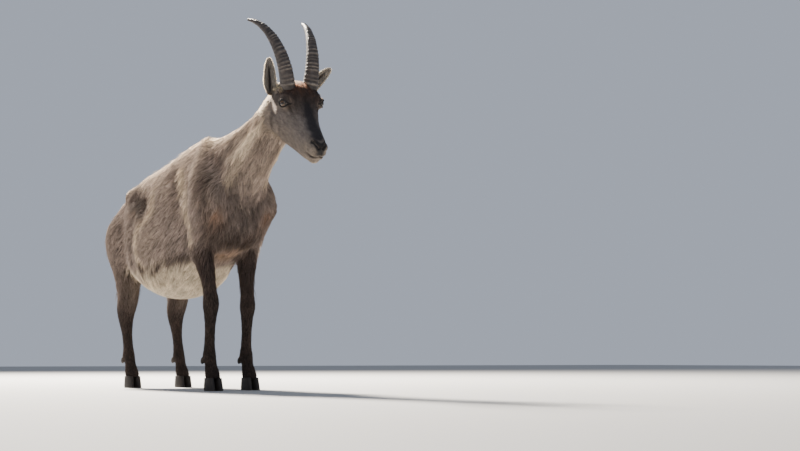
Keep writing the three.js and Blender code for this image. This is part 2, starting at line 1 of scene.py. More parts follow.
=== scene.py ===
"""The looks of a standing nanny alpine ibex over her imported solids: skin, coat, eyes, horns and hooves.

Shapes are worked out in the model's own millimetres, where she faces -Y with her left side at +X, and
are moved into the frame, in metres, when a piece is made.
"""
import math

import bpy
import numpy as np
from mathutils import Matrix, Vector
from mathutils.bvhtree import BVHTree
from mathutils.kdtree import KDTree


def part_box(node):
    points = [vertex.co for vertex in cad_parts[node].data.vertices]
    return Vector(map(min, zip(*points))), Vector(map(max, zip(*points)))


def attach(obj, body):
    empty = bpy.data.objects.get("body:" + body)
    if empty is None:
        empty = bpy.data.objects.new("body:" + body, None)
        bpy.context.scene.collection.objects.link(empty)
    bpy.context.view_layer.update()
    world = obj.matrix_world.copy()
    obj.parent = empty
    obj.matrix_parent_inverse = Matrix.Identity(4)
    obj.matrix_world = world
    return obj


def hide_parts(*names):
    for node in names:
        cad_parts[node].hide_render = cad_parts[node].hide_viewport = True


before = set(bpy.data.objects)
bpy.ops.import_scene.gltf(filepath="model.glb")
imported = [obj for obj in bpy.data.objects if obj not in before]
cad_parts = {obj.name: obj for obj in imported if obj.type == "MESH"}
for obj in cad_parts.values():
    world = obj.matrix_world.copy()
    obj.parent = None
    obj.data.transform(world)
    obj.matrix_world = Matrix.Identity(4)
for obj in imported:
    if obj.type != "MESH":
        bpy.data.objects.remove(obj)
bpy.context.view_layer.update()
chance = np.random.default_rng(41)

# The solids' driving dimensions, in millimetres and degrees; only the horns' rings are closer here
WITHERS = 770
TRUNK_RISE = 8
TRUNK_PIVOT = np.array([0, -260, 420.0])
HEAD_AT = np.array([16, -575, 828.0])
HEAD_LEFT, HEAD_DOWN, HEAD_LEAN = 2, 43.5, -6.5
HORN_LENGTH = {"left": 260, "right": 272}
HORN_START, HORN_SWEEP, HORN_RINGS = 22, 99, 26
EAR_LENGTH = 110
EYE_RADIUS = 15.5
FORE_TRACK, HIND_TRACK = 70, 84
FORE_FOOT_Y = {"left": -258, "right": -304}
HIND_FOOT_Y = {"left": 250, "right": 262}
SIDES = {"left": 1.0, "right": -1.0}
UP = np.array([0, 0, 1.0])
BACK = np.array([0, 1.0, 0])
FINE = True


def unit(v):
    v = np.asarray(v, float)
    return v / np.maximum(np.linalg.norm(v, axis=-1, keepdims=True), 1e-9)


def ramp(x, low, high):
    t = np.clip((x - low) / (high - low), 0, 1)
    return t * t * (3 - 2 * t)


def mix(a, b, share):
    share = np.asarray(share)
    return a + (np.asarray(b) - a) * (share[:, None] if share.ndim else share)


def row(y, z, wide, over, under, square=2.0, square_under=2.0, x=0.0, turn=0.0):
    """A section: its middle, half its width, its reach over and under, how square each side is, its turn."""
    return [x, y, z, wide, over, under, square, square_under, turn]


def sections(*rows):
    return [row(*r) for r in rows]


def refine(rows, steps):
    """The rows between the given ones, on a smooth curve through each of their numbers."""
    rows = np.array(rows, float)
    last = len(rows) - 1
    found = []
    for i in range(last):
        a, b, c, d = (rows[min(max(k, 0), last)] for k in (i - 1, i, i + 1, i + 2))
        for t in np.arange(steps) / steps:
            found.append(b + 0.5 * t * (c - a + t * (2 * a - 5 * b + 4 * c - d + t * (3 * (b - c) + d - a))))
    return np.array(found + [rows[last]])


def capped(rings):
    """Points and triangles of a closed surface over rings of points, with a point at either end."""
    rings = np.asarray(rings, float)
    count, around = rings.shape[:2]
    points = np.vstack([rings.reshape(-1, 3), rings[0].mean(0), rings[-1].mean(0)])
    first = count * around
    a = np.arange(first).reshape(count, around)
    b = np.roll(a, -1, axis=1)
    corners = [(a[:-1], a[1:], b[:-1]), (b[:-1], a[1:], b[1:]),
               (np.full(around, first), a[0], b[0]), (np.full(around, first + 1), b[-1], a[-1])]
    faces = np.vstack([np.stack(c, -1).reshape(-1, 3) for c in corners])
    a, b, c = (points[faces[:, n]] for n in range(3))
    if (np.cross(a, b) * c).sum() < 0:
        faces = faces[:, ::-1]
    return points, faces


def rings_of(rows, around, facing=None):
    """Rings of points round each row; they stand square to the path or to one given direction."""
    rows = np.asarray(rows, float)
    middles = rows[:, :3]
    last = len(rows) - 1
    angle = 2 * math.pi * np.arange(around) / around
    c, s = np.cos(angle), np.sin(angle)
    rings = []
    for i, (wide, above, below, square, square_under, turn) in enumerate(rows[:, 3:]):
        along = unit(middles[min(i + 1, last)] - middles[max(i - 1, 0)]) if facing is None else facing
        turn = math.radians(turn)
        side = np.array([math.cos(turn), math.sin(turn), 0])
        side = unit(side - along * (side @ along))
        over = np.cross(side, along)
        power = 2 / np.where(s >= 0, square, square_under)
        across = np.sign(c) * np.abs(c) ** power * wide
        reach = np.sign(s) * np.abs(s) ** power * np.where(s >= 0, above, below)
        rings.append(middles[i] + across[:, None] * side + reach[:, None] * over)
    return np.array(rings)


def loft(rows, around, steps, facing=None):
    return capped(rings_of(refine(rows, steps), around, facing))


def ball(at, radii, toward=UP, across=40, high=28):
    """An ellipsoid, turned so that its third radius lies along a direction."""
    theta = np.linspace(0.02, math.pi - 0.02, high)
    phi = 2 * math.pi * np.arange(across) / across
    rings = np.stack([np.outer(np.sin(theta), np.cos(phi)), np.outer(np.sin(theta), np.sin(phi)),
                      np.outer(np.cos(theta), np.ones(across))], -1) * np.asarray(radii, float)
    turned = Vector((0, 0, 1)).rotation_difference(Vector(unit(toward))).to_matrix()
    return capped(rings @ np.array(turned).T + np.asarray(at, float))


# Poses
def turned_about(axis, degrees):
    return np.array(Matrix.Rotation(math.radians(degrees), 3, axis))


TRUNK_TURN = turned_about("X", -TRUNK_RISE)
HEAD_TURN = turned_about("Z", HEAD_LEFT) @ turned_about("X", HEAD_DOWN) @ turned_about("Y", HEAD_LEAN)


def tipped(p):
    return (np.asarray(p, float) - TRUNK_PIVOT) @ TRUNK_TURN.T + TRUNK_PIVOT


def posed(p):
    """From the head's own frame to the model's."""
    return np.asarray(p, float) @ HEAD_TURN.T + HEAD_AT


def unposed(p):
    return (np.asarray(p, float) - HEAD_AT) @ HEAD_TURN


def moved(shape, how):
    return how(shape[0]), shape[1]


def on_side(side, shape):
    points, faces = shape
    if side == "left":
        return shape
    return points * [-1, 1, 1], faces[:, ::-1]


EYE_AT = np.array([49, -97, 33.0])
EYE_LOOKS = unit([0.88, -0.42, 0.1])
eye_low, eye_high = (np.array(c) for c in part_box("eye_left"))
SHIFT = (eye_low + eye_high) / 2 * 1000 - posed(EYE_AT)  # from the model's place to the frame's
SHIFT[[0, 2]] = np.round(SHIFT[[0, 2]])


# The solids' sections, which the skin follows
TRUNK = sections(*((y, WITHERS + z, *rest) for y, z, *rest in (
    (-376, -256, 24, 24, 28),
    (-364, -256, 60, 62, 70),
    (-336, -252, 92, 100, 106),
    (-290, -242, 112, 160, 132),
    (-215, -232, 120, 224, 150, 1.95),
    (-120, -244, 130, 242, 162, 2.1),
    (0, -284, 146, 268, 162, 2.25, 2.1),
    (110, -292, 150, 271, 152, 2.4, 2.2),
    (200, -270, 140, 246, 134, 2.5, 2.2),
    (285, -224, 114, 182, 120, 2.3),
    (354, -210, 94, 136, 112),
    (408, -214, 70, 96, 92),
    (434, -218, 42, 58, 54),
    (442, -220, 18, 26, 22),
)))
NECK = sections(
    (-594, 806, 26, 32, 32, 2, 2, 17, HEAD_LEFT),
    (-566, 790, 48, 54, 60, 2, 2, 16, HEAD_LEFT),
    (-524, 764, 53, 55, 68, 2, 2, 13, HEAD_LEFT),
    (-468, 730, 58, 60, 80, 2, 2, 8),
    (-400, 692, 68, 76, 96, 2, 2, 4),
    (-330, 654, 82, 104, 122),
    (-250, 612, 92, 142, 150),
    (-200, 588, 80, 124, 126),
)
FORELEG = sections(
    (-2, 33, 20, 24, 21), (-2, 37.4, 23, 27, 24), (2, 52, 22, 24, 23), (12, 76, 18, 18, 19),
    (20, 100, 20, 20, 25), (22, 124, 17, 17, 19), (20, 168, 15.5, 16.5, 17),
    (18, 212, 19, 20, 20), (16, 246, 24, 27, 26), (18, 276, 22, 25, 27),
    (28, 318, 25, 30, 34), (38, 366, 30, 36, 47), (46, 412, 35, 42, 60),
    (32, 468, 42, 60, 72), (8, 530, 50, 84, 78), (20, 602, 45, 84, 82),
    (50, 676, 34, 62, 70), (74, 736, 20, 34, 44), (80, 752, 9, 15, 20),
)
HINDLEG = sections(
    (-2, 33, 20, 24, 21), (-2, 37.4, 23, 27, 24), (3, 52, 22, 24, 23), (15, 76, 18, 18, 19),
    (28, 100, 20, 20, 25), (34, 124, 17.5, 18, 19), (46, 168, 17, 18, 20),
    (56, 204, 22, 23, 26), (60, 232, 27, 32, 33), (52, 262, 32, 42, 42),
    (42, 300, 34, 56, 52), (36, 350, 40, 76, 70), (44, 400, 49, 98, 88),
    (56, 452, 57, 112, 100), (66, 510, 58, 108, 98), (76, 562, 46, 86, 78),
    (84, 602, 28, 52, 48), (88, 618, 10, 18, 16),
)
TAIL = sections(
    (390, 560, 20, 14, 20), (430, 568, 24, 17, 26), (466, 562, 25, 17, 24),
    (490, 536, 23, 14, 15), (500, 500, 19, 11, 11), (503, 464, 12, 8, 8), (503, 444, 3, 3, 3),
)
HEAD = sections(
    (-266, -10, 9, 10, 10),
    (-260, -12, 20, 22, 25, 2.3, 2.3),
    (-247, -14, 25, 29, 41, 2.4, 2.3),
    (-226, -14, 28, 33, 53, 2.3, 2.2),
    (-197, -13, 32, 36, 63, 2.2, 2.2),
    (-165, -10, 37, 41, 74, 2.1, 2.2),
    (-133, -6, 45, 50, 86, 2.0, 2.3),
    (-103, -2, 53, 62, 96, 2.1, 2.3),
    (-75, 2, 56, 67, 100, 2.2, 2.2),
    (-47, 2, 54, 63, 92, 2.2, 2),
    (-19, -2, 49, 55, 74), (9, -8, 41, 42, 54), (28, -14, 24, 26, 32),
)
DEWCLAW = {"fore": (11, 43, 87), "hind": (11, 51, 88)}  # how far aside, behind and above its foot's place
# A leg's sections, half its track, its feet's places, how far it goes out and then in on the way up and
# between which heights, and the heights between which the two of a pair draw level in length
LEGS = {
    "fore": (FORELEG, FORE_TRACK, FORE_FOOT_Y, (13, 250, 500), (38, 540, 750), (240, 600)),
    "hind": (HINDLEG, HIND_TRACK, HIND_FOOT_Y, (11, 280, 430), (42, 470, 620), (260, 560)),
}
FEET = [(foot, side, s, s * track, foot_y[side])
        for foot, (_, track, foot_y, *_) in LEGS.items() for side, s in SIDES.items()]


def leg(which, side):
    """A leg from the coronet up."""
    rows, track, foot_y, (out, *out_from), (drawn, *drawn_from), level_from = LEGS[which]
    rows = np.array(rows, float)
    z = rows[:, 2]
    mean = (foot_y["left"] + foot_y["right"]) / 2
    rows[:, 0] = track + (out * ramp(z, *out_from) - drawn * ramp(z, *drawn_from))
    rows[:, 1] += foot_y[side] + (mean - foot_y[side]) * ramp(z, *level_from)
    return on_side(side, loft(rows, 36, 4, UP))


# Meshes
def placed(name, data):
    holder = bpy.data.objects.new(name, data)
    bpy.context.scene.collection.objects.link(holder)
    return holder


def make_mesh(name, points, faces):
    """A mesh object from points in the model's millimetres and faces that all have as many corners."""
    faces = np.ascontiguousarray(faces, np.int32)
    mesh = bpy.data.meshes.new(name)
    mesh.vertices.add(len(points))
    mesh.vertices.foreach_set("co", np.ascontiguousarray((points + SHIFT) / 1000, np.float32).ravel())
    mesh.loops.add(faces.size)
    mesh.loops.foreach_set("vertex_index", faces.ravel())
    mesh.polygons.add(len(faces))
    mesh.polygons.foreach_set("loop_start", np.arange(0, faces.size, faces.shape[1], dtype=np.int32))
    mesh.update(calc_edges=True)
    mesh.shade_smooth()
    return placed(name, mesh)


def fused(parts, voxel):
    """The one outer surface of parts that overlap, as points and four-cornered faces."""
    points, faces, count = [], [], 0
    for p, f in parts:
        points.append(p)
        faces.append(f + count)
        count += len(p)
    piece = make_mesh("fusing", np.vstack(points), np.vstack(faces))
    change = piece.modifiers.new("fuse", "REMESH")
    change.mode = "VOXEL"
    change.voxel_size = voxel / 1000
    change.adaptivity = 0
    mesh = piece.evaluated_get(bpy.context.evaluated_depsgraph_get()).to_mesh()
    found = np.empty(len(mesh.vertices) * 3, np.float32)
    mesh.vertices.foreach_get("co", found)
    corners = np.empty(len(mesh.loops), np.int32)
    mesh.loops.foreach_get("vertex_index", corners)
    bpy.data.objects.remove(piece)
    return found.reshape(-1, 3).astype(float) * 1000 - SHIFT, corners.reshape(-1, 4)


def facings(points, faces):
    """For each face a vector along its facing, as long as twice its area, and each point's facing."""
    p, corners = points[faces], faces.shape[1]
    if corners == 4:
        face = np.cross(p[:, 2] - p[:, 0], p[:, 3] - p[:, 1])
    else:
        face = np.cross(p[:, 1] - p[:, 0], p[:, 2] - p[:, 0])
    sums = [np.bincount(faces.ravel(), np.repeat(face[:, k], corners), len(points)) for k in range(3)]
    return face, unit(np.stack(sums, 1))


class Skin:
    """A surface of points and four-cornered faces that can be smoothed and pushed about."""

    def __init__(self, points, faces):
        self.v, self.f = points, faces
        n = len(points)
        pairs = np.sort(np.vstack([faces[:, [k, (k + 1) % 4]] for k in range(4)]).astype(np.int64), 1)
        pairs = np.unique(pairs[:, 0] * n + pairs[:, 1])
        self.a, self.b = pairs // n, pairs % n
        self.degree = np.bincount(self.a, minlength=n) + np.bincount(self.b, minlength=n)

    def mean(self, x):
        n = len(self.v)
        sums = [np.bincount(self.a, x[self.b, k], n) + np.bincount(self.b, x[self.a, k], n) for k in range(3)]
        return np.stack(sums, 1) / np.maximum(self.degree, 1)[:, None]

    def smooth(self, rounds, weight=1.0):
        for _ in range(rounds):
            self.v = self.v + 0.5 * np.reshape(weight, (-1, 1)) * (self.mean(self.v) - self.v)

    def normals(self):
        return facings(self.v, self.f)[1]

    def push(self, height):
        self.v = self.v + self.normals() * height[:, None]


def both_sides(p):
    return np.column_stack([np.abs(p[:, 0]), p[:, 1:]])


def distance_to(p, path):
    best = np.full(len(p), 1e9)
    for a, b in zip(path[:-1], path[1:]):
        d = b - a
        t = np.clip(((p - a) @ d) / (d @ d), 0, 1)
        best = np.minimum(best, np.linalg.norm(p - a - t[:, None] * d, axis=1))
    return best


def bump(p, at, reach, height=1.0):
    """A soft rise round a place or along a line of places, on both sides of the middle plane."""
    p, at = both_sides(p), np.asarray(at, float)
    if at.ndim == 1:
        return height * np.exp(-(((p - at) / reach) ** 2).sum(1))
    return height * np.exp(-(distance_to(p, at) / reach) ** 2)


def raised(p, forms):
    """The sum of soft rises and hollows, each given by where it is, its reach and its height."""
    return sum(bump(p, *form) for form in forms)


def lattice(i, j, k, seed):
    h = (i * 374761393 + j * 668265263 + k * 2147483647 + seed * 1274126177) & 0xFFFFFFFF
    h = ((h ^ (h >> 13)) * 1274126177) & 0xFFFFFFFF
    return ((h ^ (h >> 16)) & 0xFFFF) / 32767.5 - 1


def noise(p, scale, seed):
    """Smooth noise from -1 to 1 with grains of the given size."""
    q = p / scale
    base = np.floor(q).astype(np.int64)
    t = q - base
    t = t * t * (3 - 2 * t)
    found = 0
    for corner in np.ndindex(2, 2, 2):
        x, y, z = np.where(corner, t, 1 - t).T
        found = found + x * y * z * lattice(*(base + corner).T, seed)
    return found


def streaks(p, size, seed):
    """Noise that is drawn out along the lie of the coat, which runs back and down."""
    along, across = np.array([0, 0.74, -0.67]), np.array([0, 0.67, 0.74])
    return noise(np.column_stack([p[:, 0], p @ along / 6, p @ across]), size, seed)


# The body's skin. It lies under the solids' surface, which is the outside of the coat, by the depth of
# the fur; the legs and the end of the tail have less of it.
BODY_VOXEL, HEAD_VOXEL = (4.4, 1.5) if FINE else (7, 2.6)
FUR_DEPTH, LEGS_LESS, BREAST_MORE = 8.0, 6.2, 4
FACE_DEPTH, NAPE_MORE = 1.2, 3.6
HIP_HOLLOW = [(137, 76, 556), (133, 118, 570), (122, 176, 590), (113, 212, 596)]
THIGH_EDGE = [(127, 18, 600), (138, -4, 540), (144, 50, 506), (147, 92, 470), (148, 92, 420), (139, 66, 378)]
BELLY_EDGE = np.array(
    [(81, -140, 388), (97, -91, 381), (111, -49, 372), (120, 5, 356), (127, 51, 356), (138, 80, 370)])
SHOULDER_EDGE = np.array(
    [(104, -134, 646), (116, -184, 586), (119, -206, 525), (122, -240, 463), (112, -226, 407)])
NECK_CORD = np.array([(40, -545, 772), (41, -500, 716), (52, -447, 676), (59, -409, 641), (64, -375, 596)])
# What is pressed out of the skin or into it: where, how far it reaches, and how high it stands
BODY_FORMS = [
    ((90, -236, 640), (36, 40, 90), 5),  # shoulder blade
    ([(60, -190, 690), (100, -270, 590), (104, -330, 520)], 24, 5),  # its spine
    ((96, -350, 520), (34, 34, 36), 6),  # point of the shoulder
    (SHOULDER_EDGE + (8, 44, 0), 28, -8),  # behind the shoulder
    ((92, -206, 402), (26, 26, 30), 5),  # elbow
    (HIP_HOLLOW, 32, -12),
    ((86, 262, 622), (26, 44, 24), 5),  # hip bone
    ([(146, 150, 520), (150, 146, 430), (130, 126, 366)], 24, -11),  # barrel to thigh
    ((140, 60, 450), (40, 70, 90), 6),  # barrel
    ((130, 260, 470), (40, 60, 70), 2),  # thigh
    ((100, 240, 330), (30, 24, 40), 4),  # stifle
    ([(60, -420, 640), (70, -372, 570), (60, -372, 500)], 15, -7),  # base of the neck
    (NECK_CORD, 13, 5),
    (NECK_CORD + (-6, 0, -42), 14, -5),  # groove of the throat
    (NECK_CORD + (10, 30, 36), 15, -4),  # groove over the cord
    ([(84, -330, 470), (78, -345, 420)], 14, -5),  # breast to foreleg
    ((70, -285, 262), (26, 24, 22), 2),  # knee
]
RIBS = [([(120, y - 20, 590), (150, y, 480), (130, y + 10, 380)], 12, 2.4) for y in range(-80, 140, 40)]


def body_skin():
    neck = np.array(NECK)
    neck[:2, 3:6] *= 0.84  # its front end runs inside the head's skin
    parts = [moved(loft(TRUNK, 64, 6, BACK), tipped), loft(neck, 56, 5), loft(TAIL, 24, 3)]
    for side in SIDES:
        parts += [leg("fore", side), leg("hind", side)]
        for at, radii in (([38, -208, WITHERS - 56], [28, 70, 38]), ([78, 250, WITHERS - 84], [30, 52, 26])):
            parts.append(moved(on_side(side, ball(at, radii)), tipped))
    for foot, side, s, x, y in FEET:
        dx, dy, dz = DEWCLAW[foot]
        for k in (-1, 1):
            parts.append(ball([x + k * (dx - 1), y + dy - 9, dz + 3], [9, 11, 14], across=20, high=14))
    skin = Skin(*fused(parts, BODY_VOXEL))
    p = skin.v
    slim = np.maximum(ramp(p[:, 2], 340, 240), ramp(p[:, 1], 448, 470))
    skin.smooth(24 if FINE else 10, 1 - 0.92 * slim)
    skin.push(raised(skin.v, BODY_FORMS + RIBS))
    skin.smooth(3, 1 - 0.85 * slim)
    breast = bump(skin.v, (0, -350, 500), (110, 90, 130), BREAST_MORE)
    skin.push(-(FUR_DEPTH - LEGS_LESS * slim + breast))
    skin.smooth(2, 1 - slim)
    return skin


# The head's skin, in the head's own frame
MOUTH = [(-4, -267, -30), (10, -263, -30), (23, -250, -30), (30, -232, -32), (35, -207, -34)]
NOSTRIL = [(20, -238, 9), (15, -251, 9), (10, -259, 7), (6.5, -264, 1)]
NOSE_RIM = [(21, -240, 16), (16, -254, 16), (8, -262, 13)]
NOSE_PAD = [(0, -266, 8), (0, -268, -13)]
EYE_SLIT, EYE_TOP, EYE_FOOT = 14.2, 8.0, 7.0  # half the opening's length, its reach up and down
EYE_TILT = 26
HEAD_FORMS = [
    ([(36, -124, 4), (42, -88, -8), (42, -50, -22)], 9, 2.4),  # cheekbone
    ([(32, -150, 6), (28, -185, 2), (24, -215, 0)], 8, -2.2),  # side of the nose
    ([(38, -150, -34), (46, -104, -52)], 13, -2.4),  # hollow of the cheek
    ([(44, -40, -40), (40, -70, -84), (28, -110, -84)], 9, 1.8),  # edge of the jaw
    ((0, -110, 62), (10, 26, 14), -2.5),  # between the brows
    ([(45, -121, 24), (38, -142, 14)], 4.5, -2.4),  # tear pit
    ((32, -88, 60), (12, 24, 10), 2.5),  # brow
    ((0, -248, 22), (10, 16, 8), -1.2),  # end of the nose
    ([(8, -262, -38), (22, -248, -40), (27, -230, -42)], 5, 2.2),  # lower lip
    ([(8, -265, -22), (22, -252, -22), (28, -232, -24)], 5.5, 2.2),  # upper lip
]
MUZZLE_FORMS = [
    (MOUTH, 2.2, -5.2),
    ([(0, -268, -13), (0, -266, -29)], 1.6, -2.2),  # cleft of the upper lip
    (NOSTRIL, 3.0, -8),
    (NOSE_RIM, 2.6, 1.6),
    ([(19, -250, 0), (12, -262, -4)], 3.0, 1.4),  # under the nostril
]


def eye_axes(tilt):
    """Level and upward directions before the eye, with the front raised by a number of degrees."""
    level = unit(np.cross(UP, EYE_LOOKS))
    lift = np.cross(EYE_LOOKS, level)
    c, s = math.cos(math.radians(tilt)), math.sin(math.radians(tilt))
    return c * level - s * lift, s * level + c * lift


LEVEL, LIFT = eye_axes(EYE_TILT)


def lid_place(p):
    """Where points lie round an eye: the way from its middle, their distance from it, how far they are
    inside the opening between the lids, how far they lie before it, and their height."""
    d = both_sides(p) - EYE_AT
    r = np.linalg.norm(d, axis=1)
    d = d / np.maximum(r, 1e-6)[:, None]
    u, w, out = (EYE_RADIUS * (d @ axis) for axis in (LEVEL, LIFT, EYE_LOOKS))
    arch = 1 - (u / EYE_SLIT) ** 2
    inside = np.minimum(EYE_TOP * arch - w, w + EYE_FOOT * arch)
    return d, r, inside, out, w


def shape_lids(skin):
    d, r, inside, out, w = lid_place(skin.v)
    near = (out > 0) & (r < 40)
    upper = w > 0
    rim = 1.1 * np.exp(-((inside + 1.5) / 1.5) ** 2)
    crease = np.where(upper, -1.7, -0.9) * np.exp(-((inside + 6.3) / 1.8) ** 2)
    target = np.where(inside > 0, EYE_RADIUS - 3.0, EYE_RADIUS + 1.7 + 0.9 * upper + rim + crease)
    hold = np.where(inside > 0, 1, ramp(-inside, 13, 4) * ramp(out, 0.5, 4))
    way = d * np.where(skin.v[:, :1] < 0, [[-1, 1, 1]], [[1, 1, 1]])
    skin.v = skin.v + way * ((target - r) * hold * near)[:, None]


def head_skin():
    parts = [loft(HEAD, 72, 5, BACK), ball([0, -236, -48], [18, 22, 15])]
    for side in SIDES:
        for at, radii, toward in (
            ([45, -93, 31], [29, 26, 19.5], EYE_LOOKS), ([31, -62, 46], [24, 28, 19], UP),
            ([13, -248, -6], [14, 14, 14], UP), ([32, -66, -42], [23, 46, 46], UP),
        ):
            parts.append(on_side(side, ball(at, radii, toward)))
    throat = np.array(NECK[:4])
    throat[2, 3:6] *= 0.97  # the throat draws in until it runs inside the body's skin
    throat[3, 3:6] *= 0.78
    parts.append(moved(loft(throat, 48, 5), unposed))
    skin = Skin(*fused(parts, HEAD_VOXEL))
    skin.smooth(20 if FINE else 6)
    skin.push(raised(skin.v, HEAD_FORMS))
    shape_lids(skin)
    skin.smooth(1)
    shape_lids(skin)
    skin.push(raised(skin.v, MUZZLE_FORMS))
    _, r, _, out, _ = lid_place(skin.v)
    lids = np.exp(-((r - EYE_RADIUS) / 8) ** 2) * (out > 0)
    nape = ramp(skin.v[:, 1], -20, 40)
    skin.push(-np.clip(FACE_DEPTH + NAPE_MORE * nape - FACE_DEPTH * lids, 0, None))
    shape_lids(skin)
    return skin


# Ears: a leaf that is rolled into a cup
EAR_AT = np.array([52, -9, 3.0])
EAR_POINTS = {"left": (0.76, 0.44, 0.48), "right": (0.19, 0.88, 0.44)}
EAR_FACES = {"left": (-0.25, -0.8, 0.4), "right": (-0.5, -0.7, 0.5)}
EAR_WALL = 2.2
EAR_ROLL = (-16, 196)  # degrees from rim to rim, over the back
EAR_RINGS, EAR_ARC = 64, 22  # the arc's points, once over the back and once inside


def ear_frame(side):
    along = unit(EAR_POINTS[side])
    facing = np.array(EAR_FACES[side])
    facing = unit(facing - along * (facing @ along))
    return np.stack([np.cross(-facing, along), -facing, along]), EAR_AT * [SIDES[side], 1, 1]


def ear_leaf(t):
    """Half the width and the depth of an ear at a share of its length."""
    leaf = np.sin(math.pi * np.minimum(1, 0.26 + 0.74 * t)) ** 0.44
    half = (np.maximum(2, 2 + 17 * leaf - 2 * t) - 0.8) * (0.6 + 0.4 * ramp(t, 0, 0.3))
    return half, np.maximum(1.4, 15 * (1 - 0.5 * t) * np.maximum(0.25, leaf)) - 0.5


def ear_skin(side):
    """The ear's skin; each ring runs over the back from rim to rim and returns inside."""
    axes, at = ear_frame(side)
    angle = np.linspace(*np.radians(EAR_ROLL), EAR_ARC)
    rings = []
    for t in np.sin(np.linspace(0.01, math.pi / 2, EAR_RINGS)) * 0.988:
        half, deep = ear_leaf(np.array(t))
        wall = EAR_WALL * (1 - 0.35 * t)
        x, y = np.cos(angle), np.sin(angle)
        outer = np.stack([half * x, deep * y], 1)
        inner = np.stack([(half - wall) * x, (deep - wall) * y], 1)[::-1] * [0.97, 1]
        ring = np.vstack([outer, inner])
        ring[:, 1] += -10 * t * t + 1.2 * math.sin(9 * t) * (ring[:, 0] / 20) ** 2
        rings.append(np.column_stack([ring, np.full(len(ring), EAR_LENGTH * t)]) @ axes + at)
    points, faces = capped(rings)
    return posed(points), faces


# Horns
HORN_BASE = np.array([33, -57, 54.0])
HORN_DEEP, HORN_WIDE = 26, 19  # half of each at the base
HORN_THINNING = 0.87  # the share of these that is gone at the tip
STEPS_PER_RING = 10
HORN_CUT = 3.6  # off half the depth in the middle of the length; the rear edge stays where it is
HORN_OUT = {"left": (8, 12), "right": (9, 14)}  # degrees outward at base and tip
RING_HEIGHT = 3


def horn(side):
    """A horn's points and faces, and for each point how far up a ring and how far along it lies."""
    count, around = STEPS_PER_RING * HORN_RINGS, 48
    place = HORN_BASE.copy()
    rows, crest = [], []
    for i in range(count + 1):
        t = i / count
        lean = math.radians(HORN_START + HORN_SWEEP * t)
        outward = math.radians(HORN_OUT[side][0] + (HORN_OUT[side][1] - HORN_OUT[side][0]) * t)
        taper = 1 - HORN_THINNING * t ** 1.6
        uneven = t + 0.008 * math.sin(23 * t) + 0.005 * math.sin(61 * t)
        wave = 0.5 - 0.5 * math.cos(2 * math.pi * uneven * HORN_RINGS)
        pulse = wave ** 1.8 * (0.7 + 0.3 * math.sin(37 * t)) * (1 if 0.03 < t < 0.93 else 0)
        raising = 0.85 * RING_HEIGHT * (0.4 + 0.6 * taper) * pulse
        cut = HORN_CUT * math.sin(math.pi * t)
        deep = HORN_DEEP * taper - cut
        rows.append(row(place[1] + cut * math.cos(lean), place[2] - cut * math.sin(lean),
                        HORN_WIDE * taper + 0.3 * raising, deep + raising, deep + 0.35 * raising,
                        2.4, 1.9, place[0]))
        crest.append(pulse)
        s, c = math.sin(outward), math.cos(outward)
        step = HORN_LENGTH[side] / count
        place = place + step * np.array([s, math.sin(lean) * c, math.cos(lean) * c])
    rings = rings_of(rows, around)
    middle = np.array(rows)[:, None, :3]
    rough = noise(rings.reshape(-1, 3), 5, 3).reshape(rings.shape[:2])
    rings = middle + (rings - middle) * (1 + 0.02 * rough[..., None])
    points, faces = capped(rings)
    angle = 2 * math.pi * np.arange(around) / around
    # pale crests are left off the horn's outer side, which stays dark as painted shade
    shown = np.clip(0.45 + 0.5 * np.sin(angle) - 0.45 * np.cos(angle), 0.12, 1)  # most in front and inside
    up_ring = np.append(np.outer(crest, shown).ravel(), [0, 0])
    along = np.append(np.repeat(np.arange(count + 1) / count, around), [0, 1])
    points, faces = on_side(side, (points, faces))
    return posed(points), faces, up_ring, along


# Colours are written as seen on a screen, from 0 to 255, and painted as light
def light_of(c):
    c = np.clip(np.asarray(c, float) / 255, 0, 1)
    return np.where(c <= 0.04045, c / 12.92, ((c + 0.055) / 1.055) ** 2.4)


def plain(colour, count):
    return np.tile(np.asarray(colour, float), (count, 1))


def marked(c, q, marks, most=1.0):
    """Colours under soft marks, painted shade and painted light, each given by its colour, where it is, its
    reach and its strength.
    """
    for colour, at, reach, share in marks:
        c = mix(c, colour, np.minimum(bump(q, at, reach, share), most))
    return c


BEIGE = np.array([149, 133, 119.0])
PALE = np.array([194, 175, 150.0])
GREY_BROWN = np.array([116, 103, 96.0])
DARK = np.array([72, 62, 57.0])
CHOCOLATE = np.array([68, 58, 54.0])
CREAM = np.array([186, 172, 151.0])
RUST = np.array([128, 95, 75.0])
FRONT_MARKS_AND_SHADE = [
    (BEIGE, (142, 20, 450), (60, 90, 70), 0.5),  # barrel
    (GREY_BROWN - 16, [(80, -280, 690), (100, -280, 640), (106, -300, 570)], 24, 0.65),  # shoulder blade
    (GREY_BROWN - 26, [(104, -300, 590), (98, -325, 500), (90, -300, 440)], 26, 0.75),
    # painted shade in the hollow behind the shoulder
    (GREY_BROWN - 34, SHOULDER_EDGE + (8, 50, -6), 22, 0.6),
    (PALE - 6, SHOULDER_EDGE, 21, 0.95),
    (GREY_BROWN - 16, [(78, -300, 690), (78, -360, 645)], 20, 0.75),  # neck to shoulder
    # painted shade in the groove of the throat
    (GREY_BROWN - 20, NECK_CORD + (-6, 0, -44), 18, 0.5),
    (PALE + 16, NECK_CORD, 17, 0.95),
    (DARK + 18, (0, -360, 490), (84, 80, 70), 0.8),  # breast
]
